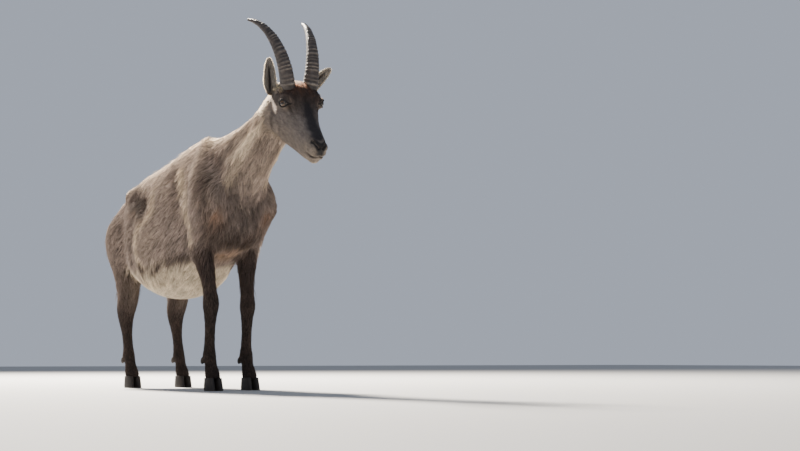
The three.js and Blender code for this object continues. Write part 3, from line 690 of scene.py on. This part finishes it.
# Painted shade in the folds and hollows: under the breast, inside the forelegs, from the breast to the
# foreleg, in the hip hollow and from the barrel to the thigh. The pale line along the thigh's edge is painted
# rim light.
FOLD_SHADE_AND_EDGE_LIGHT = [
    (DARK - 16, (0, -336, 432), (80, 60, 30), 0.95),  # under the breast
    (DARK - 20, [(26, -318, 419), (50, -300, 395), (67, -292, 369)], 14, 0.9),  # inside the forelegs
    (DARK - 14, [(84, -322, 458), (80, -306, 420), (76, -290, 380)], 21, 0.9),  # breast to foreleg
    # painted rim light along the thigh's edge
    (PALE - 4, THIGH_EDGE, 17, 0.75),
    # painted shade in the hip hollow
    (DARK - 18, HIP_HOLLOW, 34, 1.5),
    (DARK + 8, [(147, 132, 500), (149, 130, 430), (136, 118, 372)], 16, 0.6),  # barrel to thigh
]


def body_colour(p, n):
    """The coat's colour at places on the body that face given ways."""
    q = p + 9 * noise(p, 40, 5)[:, None] + 8 * streaks(p, 12, 6)[:, None]
    side = np.abs(q[:, 0])
    y, z = q[:, 1], q[:, 2]
    locks = ramp(streaks(p, 9, 17), -0.2, 0.4)
    c = plain(GREY_BROWN + 8, len(p))
    c = mix(c, BEIGE, 0.7 * ramp(n[:, 2], -0.15, 0.6))
    c = mix(c, BEIGE + 6, 0.7 * ramp(y, -330, -400) * ramp(z, 540, 620))
    c = mix(c, PALE, 0.75 * ramp(n[:, 2], 0.35, 0.95) * ramp(z, 500, 600))
    # coat marks, with painted shade behind the shoulder and in the groove of the throat
    c = marked(c, q, FRONT_MARKS_AND_SHADE)
    c = mix(c, PALE - 30, bump(q, [(52, -388, 566), (30, -372, 520)], 13, 0.6) * locks)
    c = mix(c, RUST, bump(q, (80, -340, 488), (28, 36, 30), 0.7) * (0.5 + 0.5 * locks))
    # painted shade in the folds and hollows, and painted rim light along the thigh's edge
    c = marked(c, q, FOLD_SHADE_AND_EDGE_LIGHT, 0.97)
    c = mix(c, GREY_BROWN - 8, 0.6 * ramp(y, 150, 230) * ramp(z, 640, 560))
    belly = ramp(-n[:, 2], 0.1, 0.5) * ramp(y, -190, -130) * ramp(y, 300, 230) * ramp(z, 402, 366)
    c = marked(c, q, [(DARK - 4, BELLY_EDGE, 17, 1.3)], 0.95)
    edge = np.minimum(bump(q, BELLY_EDGE + (0, 0, 4), 11, 1.3), 1)
    c = mix(c, CREAM, belly * (1 - edge))
    c = mix(c, (160, 126, 98), bump(q, (0, -262, 390), (56, 56, 26), 0.95))
    # Legs
    fore = ramp(side, 30, 46) * ramp(y, -170, -200) * ramp(z, 436, 372)
    c = mix(c, CHOCOLATE - 6, fore)
    rear = ramp(n[:, 1], 0.0, 0.6)
    inner = ramp(-n[:, 0] * np.sign(p[:, 0]), 0.1, 0.7)
    behind = np.maximum(rear, bump(q, [(112, -226, 430), (100, -206, 340)], 16))
    c = mix(c, GREY_BROWN + 28, 0.9 * fore * behind * ramp(z, 150, 220))
    c = mix(c, DARK - 8, 0.8 * ramp(y, 190, 205) * ramp(z, 420, 350) * ramp(-n[:, 1], -0.25, 0.4))
    c = mix(c, CREAM - 30, 0.85 * ramp(y, 190, 205) * ramp(z, 420, 330) * inner * rear)
    c = mix(c, CHOCOLATE - 10, ramp(z, 286, 226))
    c = mix(c, GREY_BROWN, 0.6 * ramp(z, 135, 95) * ramp(z, 60, 80) * rear)
    # Tail
    c = mix(c, np.where((n[:, 1] > -0.2)[:, None], DARK - 16, CREAM - 10), ramp(y, 455, 480))
    fine = 0.09 + 0.09 * ramp(-p[:, 1], 60, 200)
    c = c * (1 + 0.11 * streaks(p, 12, 9) + fine * streaks(p, 6, 19) + 0.05 * noise(p, 26, 2))[:, None]
    return np.clip(c, 8, 250)


PALE_TUFT = [(42, -14, 26), (47, -40, 42), (47, -62, 52)]
BROW_MARKS = [
    ((108, 74, 56), (20, -76, 66), (24, 26, 16), 0.9),
    ((150, 128, 102), (0, -46, 68), (9, 16, 12), 0.7),
]
CHEEK_MARKS_AND_SHADE = [
    # painted shade on the cheek's bulge behind the eye, which the key lamp lights
    ((94, 82, 74), (54, -62, 12), (14, 18, 32), 0.75),
    ((216, 198, 158), PALE_TUFT, 8, 0.95),
    # painted shade: a dark line down the back of the cheek
    ((80, 69, 61), [(52, -44, 14), (54, -52, -22), (48, -66, -66)], 8, 0.6),
    ((78, 66, 58), [(47, -24, 2), (50, -34, -14)], 10, 0.6),  # foot of the ear
    ((172, 157, 138), (0, -238, -60), (28, 26, 12), 1.1),  # chin
    ((150, 137, 122), [(10, -263, -21), (22, -251, -22), (29, -228, -26)], 6, 0.8),  # upper lip
]
BARE_NOSE = [(NOSE_PAD, 9, 1.7), (NOSTRIL, 5.4, 1.7), ([(8, -258, 12), (0, -262, 14)], 6, 1.2)]


def face_colour(p):
    """The coat's colour on the head, in its own frame."""
    q = p + 5 * noise(p, 14, 6)[:, None]
    side, y, z = np.abs(q[:, 0]), q[:, 1], q[:, 2]
    c = plain((127, 117, 111), len(p))
    c = mix(c, (134, 121, 110), ramp(z, 0, -60) * 0.7)
    c = mix(c, (84, 72, 66), 0.85 * ramp(z, 14, 44) * ramp(y, -200, -150) * ramp(y, -20, -60))
    c = mix(c, (140, 127, 114), ramp(y, -196, -236) * 0.75)
    c = mix(c, (150, 134, 114), ramp(z, -70, -100) * 0.7)
    bridge = np.exp(-(side / (15 - 0.04 * (y + 150))) ** 3) * ramp(z, 2, 16)
    bridge = bridge * ramp(y, -100, -140) * ramp(y, -254, -236)
    c = mix(c, (52, 47, 49), 0.95 * np.clip(1.2 * bridge, 0, 1))
    c = mix(c, (74, 60, 53), 0.85 * ramp(z, 42, 56) * ramp(y, -146, -116))
    c = marked(c, q, BROW_MARKS)
    c = mix(c, (184, 168, 143), ramp(y, -24, 14))
    # painted shade on the cheek behind the eye, among the head's own marks
    c = marked(c, q, CHEEK_MARKS_AND_SHADE)
    c = mix(c, (30, 27, 29), np.minimum(raised(q, BARE_NOSE), 1))
    c = marked(c, p, [((34, 28, 27), MOUTH, 3.2, 1.7)])
    _, r, inside, out, _ = lid_place(p)
    round_eye = (out > 0) * np.exp(-((r - EYE_RADIUS) / 9) ** 2)
    c = mix(c, (112, 99, 88), 0.5 * round_eye * np.exp(-((inside + 8) / 4) ** 2))
    c = mix(c, (24, 20, 19), np.clip(1.4 * round_eye, 0, 1) * ramp(inside, -3.6, -1.8))
    c = marked(c, q, [((50, 42, 38), [(46, -118, 30), (42, -130, 20)], 5.5, 0.9)])  # tear pit
    c = c * (1 + 0.11 * noise(p, 9, 4) + 0.09 * noise(p * [1, 0.4, 1], 2.6, 8))[:, None]
    return np.clip(c, 8, 250)


# Finishes
def adjust(node, settings):
    for name, setting in settings.items():
        node.inputs[name].default_value = setting


def finish_of(name, roughness, bump_scale=None, bump_height=0.0, sheen=0.0, specular=0.3, coat=0.0):
    """A material that takes its colour from the tints, with fine bumps."""
    material = bpy.data.materials.new(name)
    material.use_nodes = True
    nodes, links = material.node_tree.nodes, material.node_tree.links
    shader = nodes["Principled BSDF"]
    adjust(shader, {"Roughness": roughness, "Sheen Weight": sheen, "Sheen Roughness": 0.5,
                    "Specular IOR Level": specular, "Coat Weight": coat, "Coat Roughness": 0.05})
    tints = nodes.new("ShaderNodeAttribute")
    tints.attribute_name = "tint"
    links.new(tints.outputs["Color"], shader.inputs["Base Color"])
    if bump_scale:
        place = nodes.new("ShaderNodeTexCoord")
        grain = nodes.new("ShaderNodeTexNoise")
        adjust(grain, {"Scale": bump_scale, "Detail": 3})
        links.new(place.outputs["Object"], grain.inputs["Vector"])
        relief = nodes.new("ShaderNodeBump")
        adjust(relief, {"Strength": 0.6, "Distance": bump_height})
        links.new(grain.outputs["Fac"], relief.inputs["Height"])
        links.new(relief.outputs["Normal"], shader.inputs["Normal"])
    return material


SKIN = finish_of("skin", 0.85, 700, 0.0012, specular=0.15)
COAT = finish_of("coat", 0.8, sheen=0.03, specular=0.12)
FACE_SKIN = finish_of("face_skin", 0.7, 1500, 0.0006, specular=0.25)
HORN = finish_of("horn", 0.55, 900, 0.0007, specular=0.35)
HOOF = finish_of("hoof", 0.6, 500, 0.0006, specular=0.3)
EYE = finish_of("eye", 0.12, specular=0.3, coat=0.25)


def cover(name, points, faces, colours, material, slot, *nodes):
    """A visible piece: its mesh, a colour at each point as seen on a screen, its material, and the solids
    that it hides. The slot is not used.
    """
    piece = make_mesh(name, points, faces)
    kept = piece.data.color_attributes.new("tint", "FLOAT_COLOR", "POINT")
    levels = np.column_stack([light_of(colours), np.ones(len(colours))])
    kept.data.foreach_set("color", levels.astype(np.float32).ravel())
    piece.data.materials.append(material)
    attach(piece, "root")
    if nodes:
        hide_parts(*nodes)
    return piece


def unwrap(piece):
    """Lays the skin out flat, and returns where each corner of each face lies."""
    bpy.ops.object.select_all(action="DESELECT")
    piece.select_set(True)
    bpy.context.view_layer.objects.active = piece
    piece.data.uv_layers.new(name="OFBake")
    bpy.ops.object.mode_set(mode="EDIT")
    bpy.ops.mesh.select_all(action="SELECT")
    bpy.ops.uv.smart_project(angle_limit=math.radians(70), island_margin=0.002)
    bpy.ops.object.mode_set(mode="OBJECT")
    found = np.empty(len(piece.data.loops) * 2, np.float32)
    piece.data.uv_layers["OFBake"].data.foreach_get("uv", found)
    return found.reshape(len(piece.data.polygons), -1, 2).astype(float)


# Fur
PATCH = 0.003  # the side of a tuft's flat patch
TRIANGLES_PER_PIECE = 190000
# A tuft's faces, how far out each of its corners is, and the corners' places on the flat patch
BENT = {
    "faces": np.array([[0, 1, 4], [0, 4, 3], [1, 2, 5], [1, 5, 4], [2, 0, 3], [2, 3, 5],
                       [3, 4, 6], [4, 5, 6], [5, 3, 6], [0, 2, 1]]),
    "level": np.array([0, 0, 0, 0.6, 0.6, 0.6, 1]),
    "flat": np.array([[0, 0], [1, 0], [0.5, 0], [0, 0.6], [1, 0.6], [0.5, 0.6], [0.5, 1]]) - 0.5,
}
STRAIGHT = {
    "faces": np.array([[0, 1, 3], [1, 2, 3], [2, 0, 3], [0, 2, 1]]),
    "level": np.array([0, 0, 0, 1]),
    "flat": np.array([[0, 0], [1, 0], [0.5, 0], [0.5, 1]]) - 0.5,
}


def value(given, p):
    return given(p) if callable(given) else given


def nearest_of(points):
    """Finds, for places, the numbers of the nearest of these points."""
    tree = KDTree(len(points))
    for i, q in enumerate(points):
        tree.insert(Vector(q), i)
    tree.balance()
    return lambda p: np.array([tree.find(q)[1] for q in p.tolist()])


class Field:
    """A surface that tufts grow from."""

    def __init__(self, points, faces, uv):
        self.v, self.f, self.uv = points, faces, uv
        face, self.n = facings(points, faces)
        self.size = np.linalg.norm(face, axis=1) / 2
        self.middle = points[faces].mean(1)
        self.tree = BVHTree.FromPolygons(points.tolist(), faces.tolist())

    def sow(self, count, weight):
        """Roots spread over the faces by their size times a weight: places, facings and flat places."""
        share = self.size * value(weight, self.middle)
        pick = chance.choice(len(self.f), count, p=share / share.sum())
        a, b = chance.random(count), chance.random(count)
        if self.f.shape[1] == 4:
            w = np.stack([(1 - a) * (1 - b), a * (1 - b), a * b, (1 - a) * b], 1)
        else:
            over = a + b > 1
            a, b = np.where(over, 1 - a, a), np.where(over, 1 - b, b)
            w = np.stack([1 - a - b, a, b], 1)

        def take(x):
            return (x[self.f[pick]] * w[..., None]).sum(1)

        return take(self.v), unit(take(self.n)), (self.uv[pick] * w[..., None]).sum(1)

    def seat(self, p):
        """The nearest places on the surface and their facings."""
        found, facing = np.empty_like(p), np.empty_like(p)
        nearest = self.tree.find_nearest
        for i, q in enumerate(p.tolist()):
            at, normal, _, _ = nearest(q)
            found[i], facing[i] = at, normal
        return found, facing


def grow(name, field, count, weight, way, length, width, lift, paint, slot, clump, per_clump,
         clump_reach=22, stray=0.09, wave=0.08, bent=True, tip=1.16, root=0.66):
    """Tufts over a field. Each is a thin three-sided blade that leaves the skin, bends and lies along it.
    way and paint are functions of the roots' places and facings; weight, length, width and lift are
    numbers or functions of the places. tip and root are how bright the two ends are."""
    p, n, uv = field.sow(count if FINE else count // 4, weight)
    lie = unit(way(p, n))
    sway = np.stack([noise(p, 46, s) for s in (21, 22, 23)], 1)
    lie = lie + stray * chance.normal(size=p.shape) + wave * sway
    lie = unit(lie - n * (lie * n).sum(1)[:, None])
    long = value(length, p) * (0.72 + 0.56 * chance.random(len(p)))
    wide = value(width, p) * (0.75 + 0.5 * chance.random(len(p)))
    high = value(lift, p) * (0.45 + 1.1 * chance.random(len(p)))
    end, n_end = field.seat(p + lie * long[:, None])
    end = end + n_end * high[:, None]
    if bent:
        middle, n_middle = field.seat(p + lie * (0.5 * long)[:, None])
        middle = middle + n_middle * (0.75 * high)[:, None]
    tone = 0.9 + 0.2 * chance.random(len(p))
    # Tips draw together round leaders
    centres = chance.choice(len(p), max(8, len(p) // per_clump), replace=False)
    near = nearest_of(p[centres])(p)
    leader = centres[near]
    pull = clump * ramp(-np.linalg.norm(p - p[leader], axis=1), -clump_reach, -0.3 * clump_reach)[:, None]
    end = end + pull * (end[leader] + 0.15 * (p - p[leader]) - end)
    if bent:
        middle = middle + 0.35 * pull * (middle[leader] + 0.6 * (p - p[leader]) - middle)
    tone = tone * (0.92 + 0.16 * chance.random(len(centres)))[near]
    # Blades
    start = p - n * (0.25 * wide + 0.4)[:, None]
    half, thick = 0.5 * wide[:, None], 0.32 * wide[:, None]
    across = half * unit(np.cross(n, (middle if bent else end) - start))
    corners = [start - across, start + across, start + n * thick]
    if bent:
        across = 0.8 * half * unit(np.cross(n_middle, end - start))
        corners += [middle - across, middle + across, middle + n_middle * thick]
    tufts = np.stack(corners + [end], 1)
    blade = BENT if bent else STRAIGHT
    level = blade["level"]
    tones = root + (tip - root) * level ** 0.7
    colour = (paint(p + lie * (0.45 * long)[:, None], n) * tone[:, None])[:, None, :] * tones[None, :, None]
    parts = max(1, math.ceil(len(p) * len(blade["faces"]) / TRIANGLES_PER_PIECE))
    for k, chosen in enumerate(np.array_split(np.argsort(p[:, 1], kind="stable"), parts)):
        faces = (blade["faces"][None] + len(level) * np.arange(len(chosen))[:, None, None]).reshape(-1, 3)
        piece = cover(f"{name}_{k + 1}" if parts > 1 else name, tufts[chosen].reshape(-1, 3), faces,
                      colour[chosen].reshape(-1, 3), COAT, slot)
        patches = np.clip(uv[chosen], PATCH, 1 - PATCH)[:, None, :] + PATCH * blade["flat"][None]
        layer = piece.data.uv_layers.new(name="OFBake")
        layer.data.foreach_set("uv", patches[:, blade["faces"].ravel()].astype(np.float32).ravel())


def body_way(p, n):
    """The lie of the coat on the body."""
    side = np.sign(p[:, 0])
    y, z = p[:, 1], p[:, 2]
    d = np.stack([0.05 * side, np.full(len(p), 0.78), np.full(len(p), -0.62)], 1)
    d = mix(d, (0, 0.66, -0.76), ramp(y, -300, -380))
    d = mix(d, (0, 0.2, -1.0), ramp(y, -310, -350) * ramp(z, 640, 560))
    top = ramp(n[:, 2], 0.5, 0.95)
    d = d + np.stack([0.3 * side * top, 0.35 * top, 0.1 * top], 1)
    d = mix(d, (0, 0.35, -0.95), ramp(y, 220, 330) * ramp(z, 640, 540))
    d = mix(d, (0, 0.95, -0.1), ramp(-n[:, 2], 0.3, 0.8) * ramp(z, 420, 380))
    d = mix(d, (0, 0.12, -1.0), ramp(z, 420, 350) * ramp(n[:, 2], -0.9, -0.5))
    return mix(d, (0, 0.35, -1.0), ramp(y, 440, 470))


def slimness(p):
    return np.maximum(ramp(p[:, 2], 380, 240), ramp(p[:, 1], 448, 470) * 0.3)


def body_length(p):
    long = 33 - 21 * slimness(p) - 4 * ramp(p[:, 2], 110, 60)
    long = long + bump(p, (0, -370, 540), (110, 80, 130), 10) + bump(p, (60, -440, 680), (60, 70, 90), 6)
    return (long + bump(p, (0, -330, 430), (70, 80, 40), 8)) * (1 + 0.2 * noise(p, 60, 12))


SHORT_HAIR = {
    "way": body_way,
    "length": body_length,
    "width": lambda p: 1.9 - 0.6 * slimness(p),
    "lift": lambda p: 4.8 - 3.0 * slimness(p),
    "paint": body_colour,
}
UNDER_FUR = {"body": 0.62, "head": 0.8, "ear": 0.85}  # the skin's brightness against the hair's


# Where the coat hangs in locks: crest, cord and lower side of the neck, breast, shoulder, spine,
# the edge of the belly, the rear of the thigh and of the forearm
LOCK_LINES = [
    ([(8, -540, 840), (8, -420, 770), (8, -300, 742), (8, -220, 750)], 26),
    (NECK_CORD, 20),
    ([(30, -470, 640), (30, -410, 570), (40, -380, 520), (30, -350, 450)], 48),
    ([(90, -330, 560), (104, -290, 470)], 30),
    (SHOULDER_EDGE, 26),
    ([(10, -200, 752), (10, 0, 744), (10, 200, 716), (10, 360, 640)], 26),
    (BELLY_EDGE, 22),
    ([(80, 410, 520), (90, 400, 420), (94, 350, 340)], 30),
    ([(84, -190, 390), (82, -226, 310)], 18),
]


def lock_weight(p):
    return np.clip(raised(p, LOCK_LINES), 0.015, 1)


def build_body():
    skin = body_skin()
    nodes = ["torso", "neck", "tail"]
    for limb in ("foreleg", "hindleg"):
        nodes += [f"{limb}_{half}_{side}" for half in ("upper", "lower") for side in SIDES]
    colours = body_colour(skin.v, skin.normals()) * UNDER_FUR["body"]
    piece = cover("body_skin", skin.v, skin.f, colours, SKIN, "coat_body", *nodes)
    field = Field(skin.v, skin.f, unwrap(piece))

    def legs(p):
        return ramp(p[:, 2], 350, 310)

    def shown(p):
        return (1 - legs(p)) * (1 - 0.97 * ramp(p[:, 1], -545, -575) * ramp(p[:, 2], 700, 740))

    grow("body_coat", field, 84000, shown, slot="coat_body", clump=0.3, per_clump=8, **SHORT_HAIR)
    grow("long_coat", field, 14000, lambda p: shown(p) * lock_weight(p), body_way,
         lambda p: 52 + 10 * noise(p, 50, 3), 2.5, 7.5, body_colour, "coat_body", clump=0.85, per_clump=15,
         clump_reach=30, tip=1.2, root=0.55)
    grow("leg_coat", field, 44000, legs, slot="coat_dark", clump=0.25, per_clump=9, bent=False, root=0.7,
         **SHORT_HAIR)


def face_curl(q):
    return np.clip(bump(q, (10, -84, 62), (30, 44, 18)) + bump(q, PALE_TUFT, 11), 0, 1)


def face_way(p, n):
    """The lie of the hair on the head: away from the nose, with curls on the forehead."""
    q = unposed(p)
    m = n @ HEAD_TURN
    side = np.sign(q[:, 0])
    d = np.stack([0.25 * side * ramp(q[:, 2], 0, 30), np.ones(len(q)), -0.25 * ramp(-q[:, 2], -10, 30)], 1)
    d = mix(d, (0, 0.55, -0.85), ramp(q[:, 1], -70, -20) * ramp(q[:, 2], 20, -20))
    d = mix(d, (0, 0.8, 0.2), ramp(m[:, 2], 0.4, 0.9) * 0.7)
    curls = np.stack([noise(q, 9, s) for s in (31, 32, 33)], 1)
    return (d + 1.5 * face_curl(q)[:, None] * curls) @ HEAD_TURN.T


def on_face(nose, cheek, nape, curl):
    """A measure of the hair at the nose, and what is added toward the cheeks, nape and curls."""
    def measure(p):
        q = unposed(p)
        return nose + cheek * ramp(q[:, 1], -230, -60) + nape * ramp(q[:, 1], -30, 20) + curl * face_curl(q)
    return measure


def haired(p):
    """How thickly hair grows on the head: none on the eyelids' edges, the nose and between the lips."""
    q = unposed(p)
    _, r, inside, out, _ = lid_place(q)
    eye = np.where((out > 0) & (r < EYE_RADIUS + 9), ramp(-inside, 1.0, 3.0), 1)
    bare = raised(q, [(NOSE_PAD, 8, 1.8), (NOSTRIL, 5, 1.8), (MOUTH, 2.4, 1.6)])
    thick = 1 + 0.8 * ramp(q[:, 1], -150, -220) + 1.5 * face_curl(q)
    return eye * np.clip(1 - bare, 0, 1) * ramp(q[:, 1], 62, 40) * thick + 1e-6


def build_head():
    skin = head_skin()
    points = posed(skin.v)
    colours = face_colour(skin.v) * UNDER_FUR["head"]
    piece = cover("head_skin", points, skin.f, colours, FACE_SKIN, "coat_face", "head")
    field = Field(points, skin.f, unwrap(piece))
    grow("face_coat", field, 65000, haired, face_way, on_face(4.2, 5.0, 9, 8), on_face(0.9, 0.3, 0.5, 0.3),
         on_face(0.8, 0.8, 4.5, 4.0), lambda p, n: face_colour(unposed(p)), "coat_face", clump=0.25,
         per_clump=8, clump_reach=8, stray=0.12, wave=0.1, bent=False, tip=1.1, root=0.75)


EAR_BACK, EAR_INSIDE, EAR_SLIT, EAR_RIM, EAR_FOOT = (
    (118, 105, 92), (172, 160, 145), (46, 38, 36), (206, 193, 170), (100, 87, 77))


def build_ears():
    for side in SIDES:
        points, faces = ear_skin(side)
        axes, at = ear_frame(side)
        local = (unposed(points) - at) @ axes.T
        within = np.append(np.tile(np.arange(2 * EAR_ARC) >= EAR_ARC, EAR_RINGS), [False, False])
        t = np.clip(local[:, 2] / EAR_LENGTH, 0, 1)
        half = ear_leaf(t)[0]
        rim = ramp(np.abs(local[:, 0]) / half, 0.72, 0.96)
        slit = np.exp(-((local[:, 0] + 1.5) / (0.24 * half)) ** 2) * ramp(t, 0.9, 0.6)
        inside = mix(plain(EAR_INSIDE, len(points)), EAR_SLIT, slit)
        colours = np.where(within[:, None], inside, EAR_BACK)
        colours = mix(colours, EAR_RIM, 0.85 * rim)
        colours = mix(colours, EAR_FOOT, 0.6 * ramp(t, 0.3, 0.0))
        colours = colours * (1 + 0.08 * noise(points, 6, 4))[:, None]
        piece = cover(f"ear_skin_{side}", points, faces, colours * UNDER_FUR["ear"], FACE_SKIN, "coat_ear",
                      f"ear_{side}")
        field = Field(points, faces, unwrap(piece))
        nearest = nearest_of(points)

        def length(p):
            k = nearest(p)
            return (np.where(within[k], 12, 6.5) + 2 * rim[k]) * (1 - 0.55 * ramp(t[k], 0.72, 1))

        def lift(p):
            k = nearest(p)
            return np.where(within[k], 2.4, 0.9) + 0.8 * rim[k]

        grow(f"ear_coat_{side}", field, 7000, 1.0, lambda p, n: np.tile(axes[2] @ HEAD_TURN.T, (len(p), 1)),
             length, 1.0, lift, lambda p, n: colours[nearest(p)] * 1.05, "coat_ear", clump=0.2, per_clump=8,
             clump_reach=7, stray=0.14, bent=False, tip=1.12, root=0.78)


def build_horns():
    for side in SIDES:
        points, faces, up_ring, along = horn(side)
        c = plain((60, 53, 50), len(points))
        c = c * (1 + 0.16 * noise(points, 9, 7) + 0.12 * noise(points * [2.5, 1, 1], 3, 5))[:, None]
        # pale crests: real wear, kept off the outer side as painted shade
        crest_wear_and_side_shade = np.clip(up_ring * 0.95 * (0.7 + 0.5 * noise(points, 5, 14)), 0, 0.8)
        c = mix(c, (134, 125, 114), crest_wear_and_side_shade)
        # painted shade: darker, in patches, in the grooves between the rings and over the outer side
        shade_off_crests = (1 - np.clip(up_ring * 3, 0, 1)) * ramp(noise(points, 8, 3), -0.6, 0.6)
        c = mix(c, (34, 30, 29), 0.5 * shade_off_crests)
        c = mix(c, (42, 37, 35), 0.6 * ramp(along, 0.86, 1.0))
        cover(f"horn_cover_{side}", points, faces, c, HORN, "horn", f"horn_{side}")


IRIS_RADIUS, CORNEA_RISE = 10.2, 1.0
PUPIL_LONG, PUPIL_HIGH = 6.4, 2.9  # half of each


def build_eyes():
    level, lift = eye_axes(HEAD_DOWN)  # the pupil stays level however the head is held
    for side in SIDES:
        points, faces = ball(EYE_AT, [EYE_RADIUS - 0.15] * 3, EYE_LOOKS, 96, 72)
        d = points - EYE_AT
        u, w, out = d @ level, d @ lift, d @ EYE_LOOKS
        iris = np.hypot(u, w) / IRIS_RADIUS
        rise = CORNEA_RISE * np.clip(1 - iris ** 2, 0, 1) ** 1.2 * (out > 0)
        points = points + EYE_LOOKS * rise[:, None]
        angle = np.arctan2(w, u)
        rays = 0.5 + 0.5 * np.sin(angle * 31 + 3 * np.sin(angle * 7))
        pupil = np.abs(u / PUPIL_LONG) ** 2.4 + np.abs(w / PUPIL_HIGH) ** 2.4
        c = mix(plain((92, 68, 44), len(points)), (54, 40, 29), 0.7 * rays)
        c = mix(c, (26, 20, 17), ramp(iris, 0.6, 0.92))
        c = mix(c, (50, 41, 37), ramp(iris, 1.0, 1.1))
        c = mix(c, (8, 8, 9), ramp(pupil, 1.25, 0.85))
        points, faces = on_side(side, (points, faces))
        cover(f"eyeball_{side}", posed(points), faces, c, EYE, "eye", f"eye_{side}")


CLAW_HALF, CLEFT = 11, 3
# A claw's sections from the sole up, with their middles and half widths given against the foot's
CLAW = [(-8, 0, -0.8, 32, 24.2, 1.7, 2.6), (-8, 1.5, 0, 33, 25, 1.7, 2.6), (-7, 8, 0.5, 31, 25, 1.8, 2.6),
        (-5, 22, 0, 27.5, 23.5, 1.9, 2.3), (-3, 37, -0.6, 24, 21.5)]
HOOF_DARK, HOOF_WORN = (38, 33, 30), (88, 78, 66)


def build_hooves():
    for foot, side, s, foot_x, y in FEET:
        for where, k in (("outer", s), ("inner", -s)):
            x = foot_x + k * (CLAW_HALF + CLEFT / 2)
            rows = [row(y + ahead, z, CLAW_HALF + more, *rest, x=x) for ahead, z, more, *rest in CLAW]
            points, faces = loft(rows, 48, 6, UP)
            place, z = f"{foot}_{side}_{where}", points[:, 2]
            growth = 1 + 0.16 * noise(points * [1, 1, 0.25], 3, 6) + 0.12 * np.sin(z * 1.3)
            c = mix(plain(HOOF_DARK, len(points)) * growth[:, None], HOOF_WORN, 0.35 * ramp(z, 6, 0))
            cover(f"claw_{place}", points, faces, c, HOOF, "hoof", f"hoof_{place}")
            dx, dy, dz = DEWCLAW[foot]
            points, faces = ball([foot_x + k * dx, y + dy, dz], [6.2, 6.6, 11.6], [0, -0.5, 1], 28, 20)
            c = plain(HOOF_DARK, len(points)) * (1 + 0.15 * noise(points, 4, 3))[:, None]
            cover(f"bud_{place}", points, faces, c, HOOF, "hoof", f"dewclaw_{place}")


# Stage, light and camera
IMAGE_WIDE, IMAGE_HIGH = 800, 451
VIEW_AZIMUTH = -25
VIEW_FROM = 4.35  # metres along the floor from the point that the camera is aimed by
VIEW_HIGH = 0.09
FOCAL_PIXELS = 1435
SENSOR_WIDE = 36
AIM_POINT = np.array([0, -120, 430.0])
AIM_PIXEL = (209, 246)
SKY, SKY_STRENGTH = (0.76, 0.84, 1.0), 0.53
FLOOR_HALF, FLOOR_GREY, FLOOR_ROUGHNESS = 14000.0, 0.36, 0.9
LAMPS = {  # place, what it shines toward, size, watts and colour
    "key": ((0.35, 3.6, 3.9), (0, 0, 0.6), 0.7, 3000, (1.0, 0.91, 0.79)),
    "fill": ((-2.6, -4.2, 2.0), (0, 0, 0.5), 3.0, 45, (0.92, 0.96, 1.0)),
}


def make_camera():
    camera = bpy.data.cameras.new("camera")
    camera.sensor_width = SENSOR_WIDE
    camera.lens = FOCAL_PIXELS / IMAGE_WIDE * SENSOR_WIDE
    camera.clip_end = 60
    holder = placed("camera", camera)
    bpy.context.scene.camera = holder
    aim = (AIM_POINT + SHIFT) / 1000
    a = math.radians(VIEW_AZIMUTH)
    at = np.array([aim[0] + math.sin(a) * VIEW_FROM, aim[1] - math.cos(a) * VIEW_FROM, VIEW_HIGH])
    to = aim - at
    yaw, pitch = math.atan2(to[1], to[0]), math.atan2(to[2], math.hypot(to[0], to[1]))
    for _ in range(20):  # turns the camera until the point falls on its pixel
        ahead = np.array([math.cos(pitch) * math.cos(yaw), math.cos(pitch) * math.sin(yaw), math.sin(pitch)])
        right = np.array([math.sin(yaw), -math.cos(yaw), 0])
        up = np.cross(right, ahead)
        deep = to @ ahead
        x = IMAGE_WIDE / 2 + FOCAL_PIXELS * (to @ right) / deep
        y = IMAGE_HIGH / 2 - FOCAL_PIXELS * (to @ up) / deep
        yaw += (AIM_PIXEL[0] - x) / FOCAL_PIXELS
        pitch += (AIM_PIXEL[1] - y) / FOCAL_PIXELS
    turn = Matrix((right, up, -ahead)).transposed().to_4x4()
    holder.matrix_world = Matrix.Translation(Vector(at)) @ turn


def make_stage():
    world = bpy.data.worlds.new("studio")
    bpy.context.scene.world = world
    world.use_nodes = True
    adjust(world.node_tree.nodes["Background"], {"Color": (*SKY, 1), "Strength": SKY_STRENGTH})
    corners = FLOOR_HALF * np.array([[-1, -1, 0], [1, -1, 0], [1, 1, 0], [-1, 1, 0]])
    floor = make_mesh("floor", corners - SHIFT, np.array([[0, 1, 2, 3]]))
    paint = bpy.data.materials.new("floor")
    paint.use_nodes = True
    adjust(paint.node_tree.nodes["Principled BSDF"],
           {"Base Color": (FLOOR_GREY, FLOOR_GREY, FLOOR_GREY, 1), "Roughness": FLOOR_ROUGHNESS})
    floor.data.materials.append(paint)
    for name, (at, toward, size, power, colour) in LAMPS.items():
        lamp = bpy.data.lights.new(name, "AREA")
        lamp.size, lamp.energy, lamp.color = size, power, colour
        holder = placed(name, lamp)
        holder.location = at
        holder.rotation_euler = (Vector(toward) - Vector(at)).to_track_quat("-Z", "Y").to_euler()


make_camera()
make_stage()
build_body()
build_head()
build_ears()
build_horns()
build_eyes()
build_hooves()
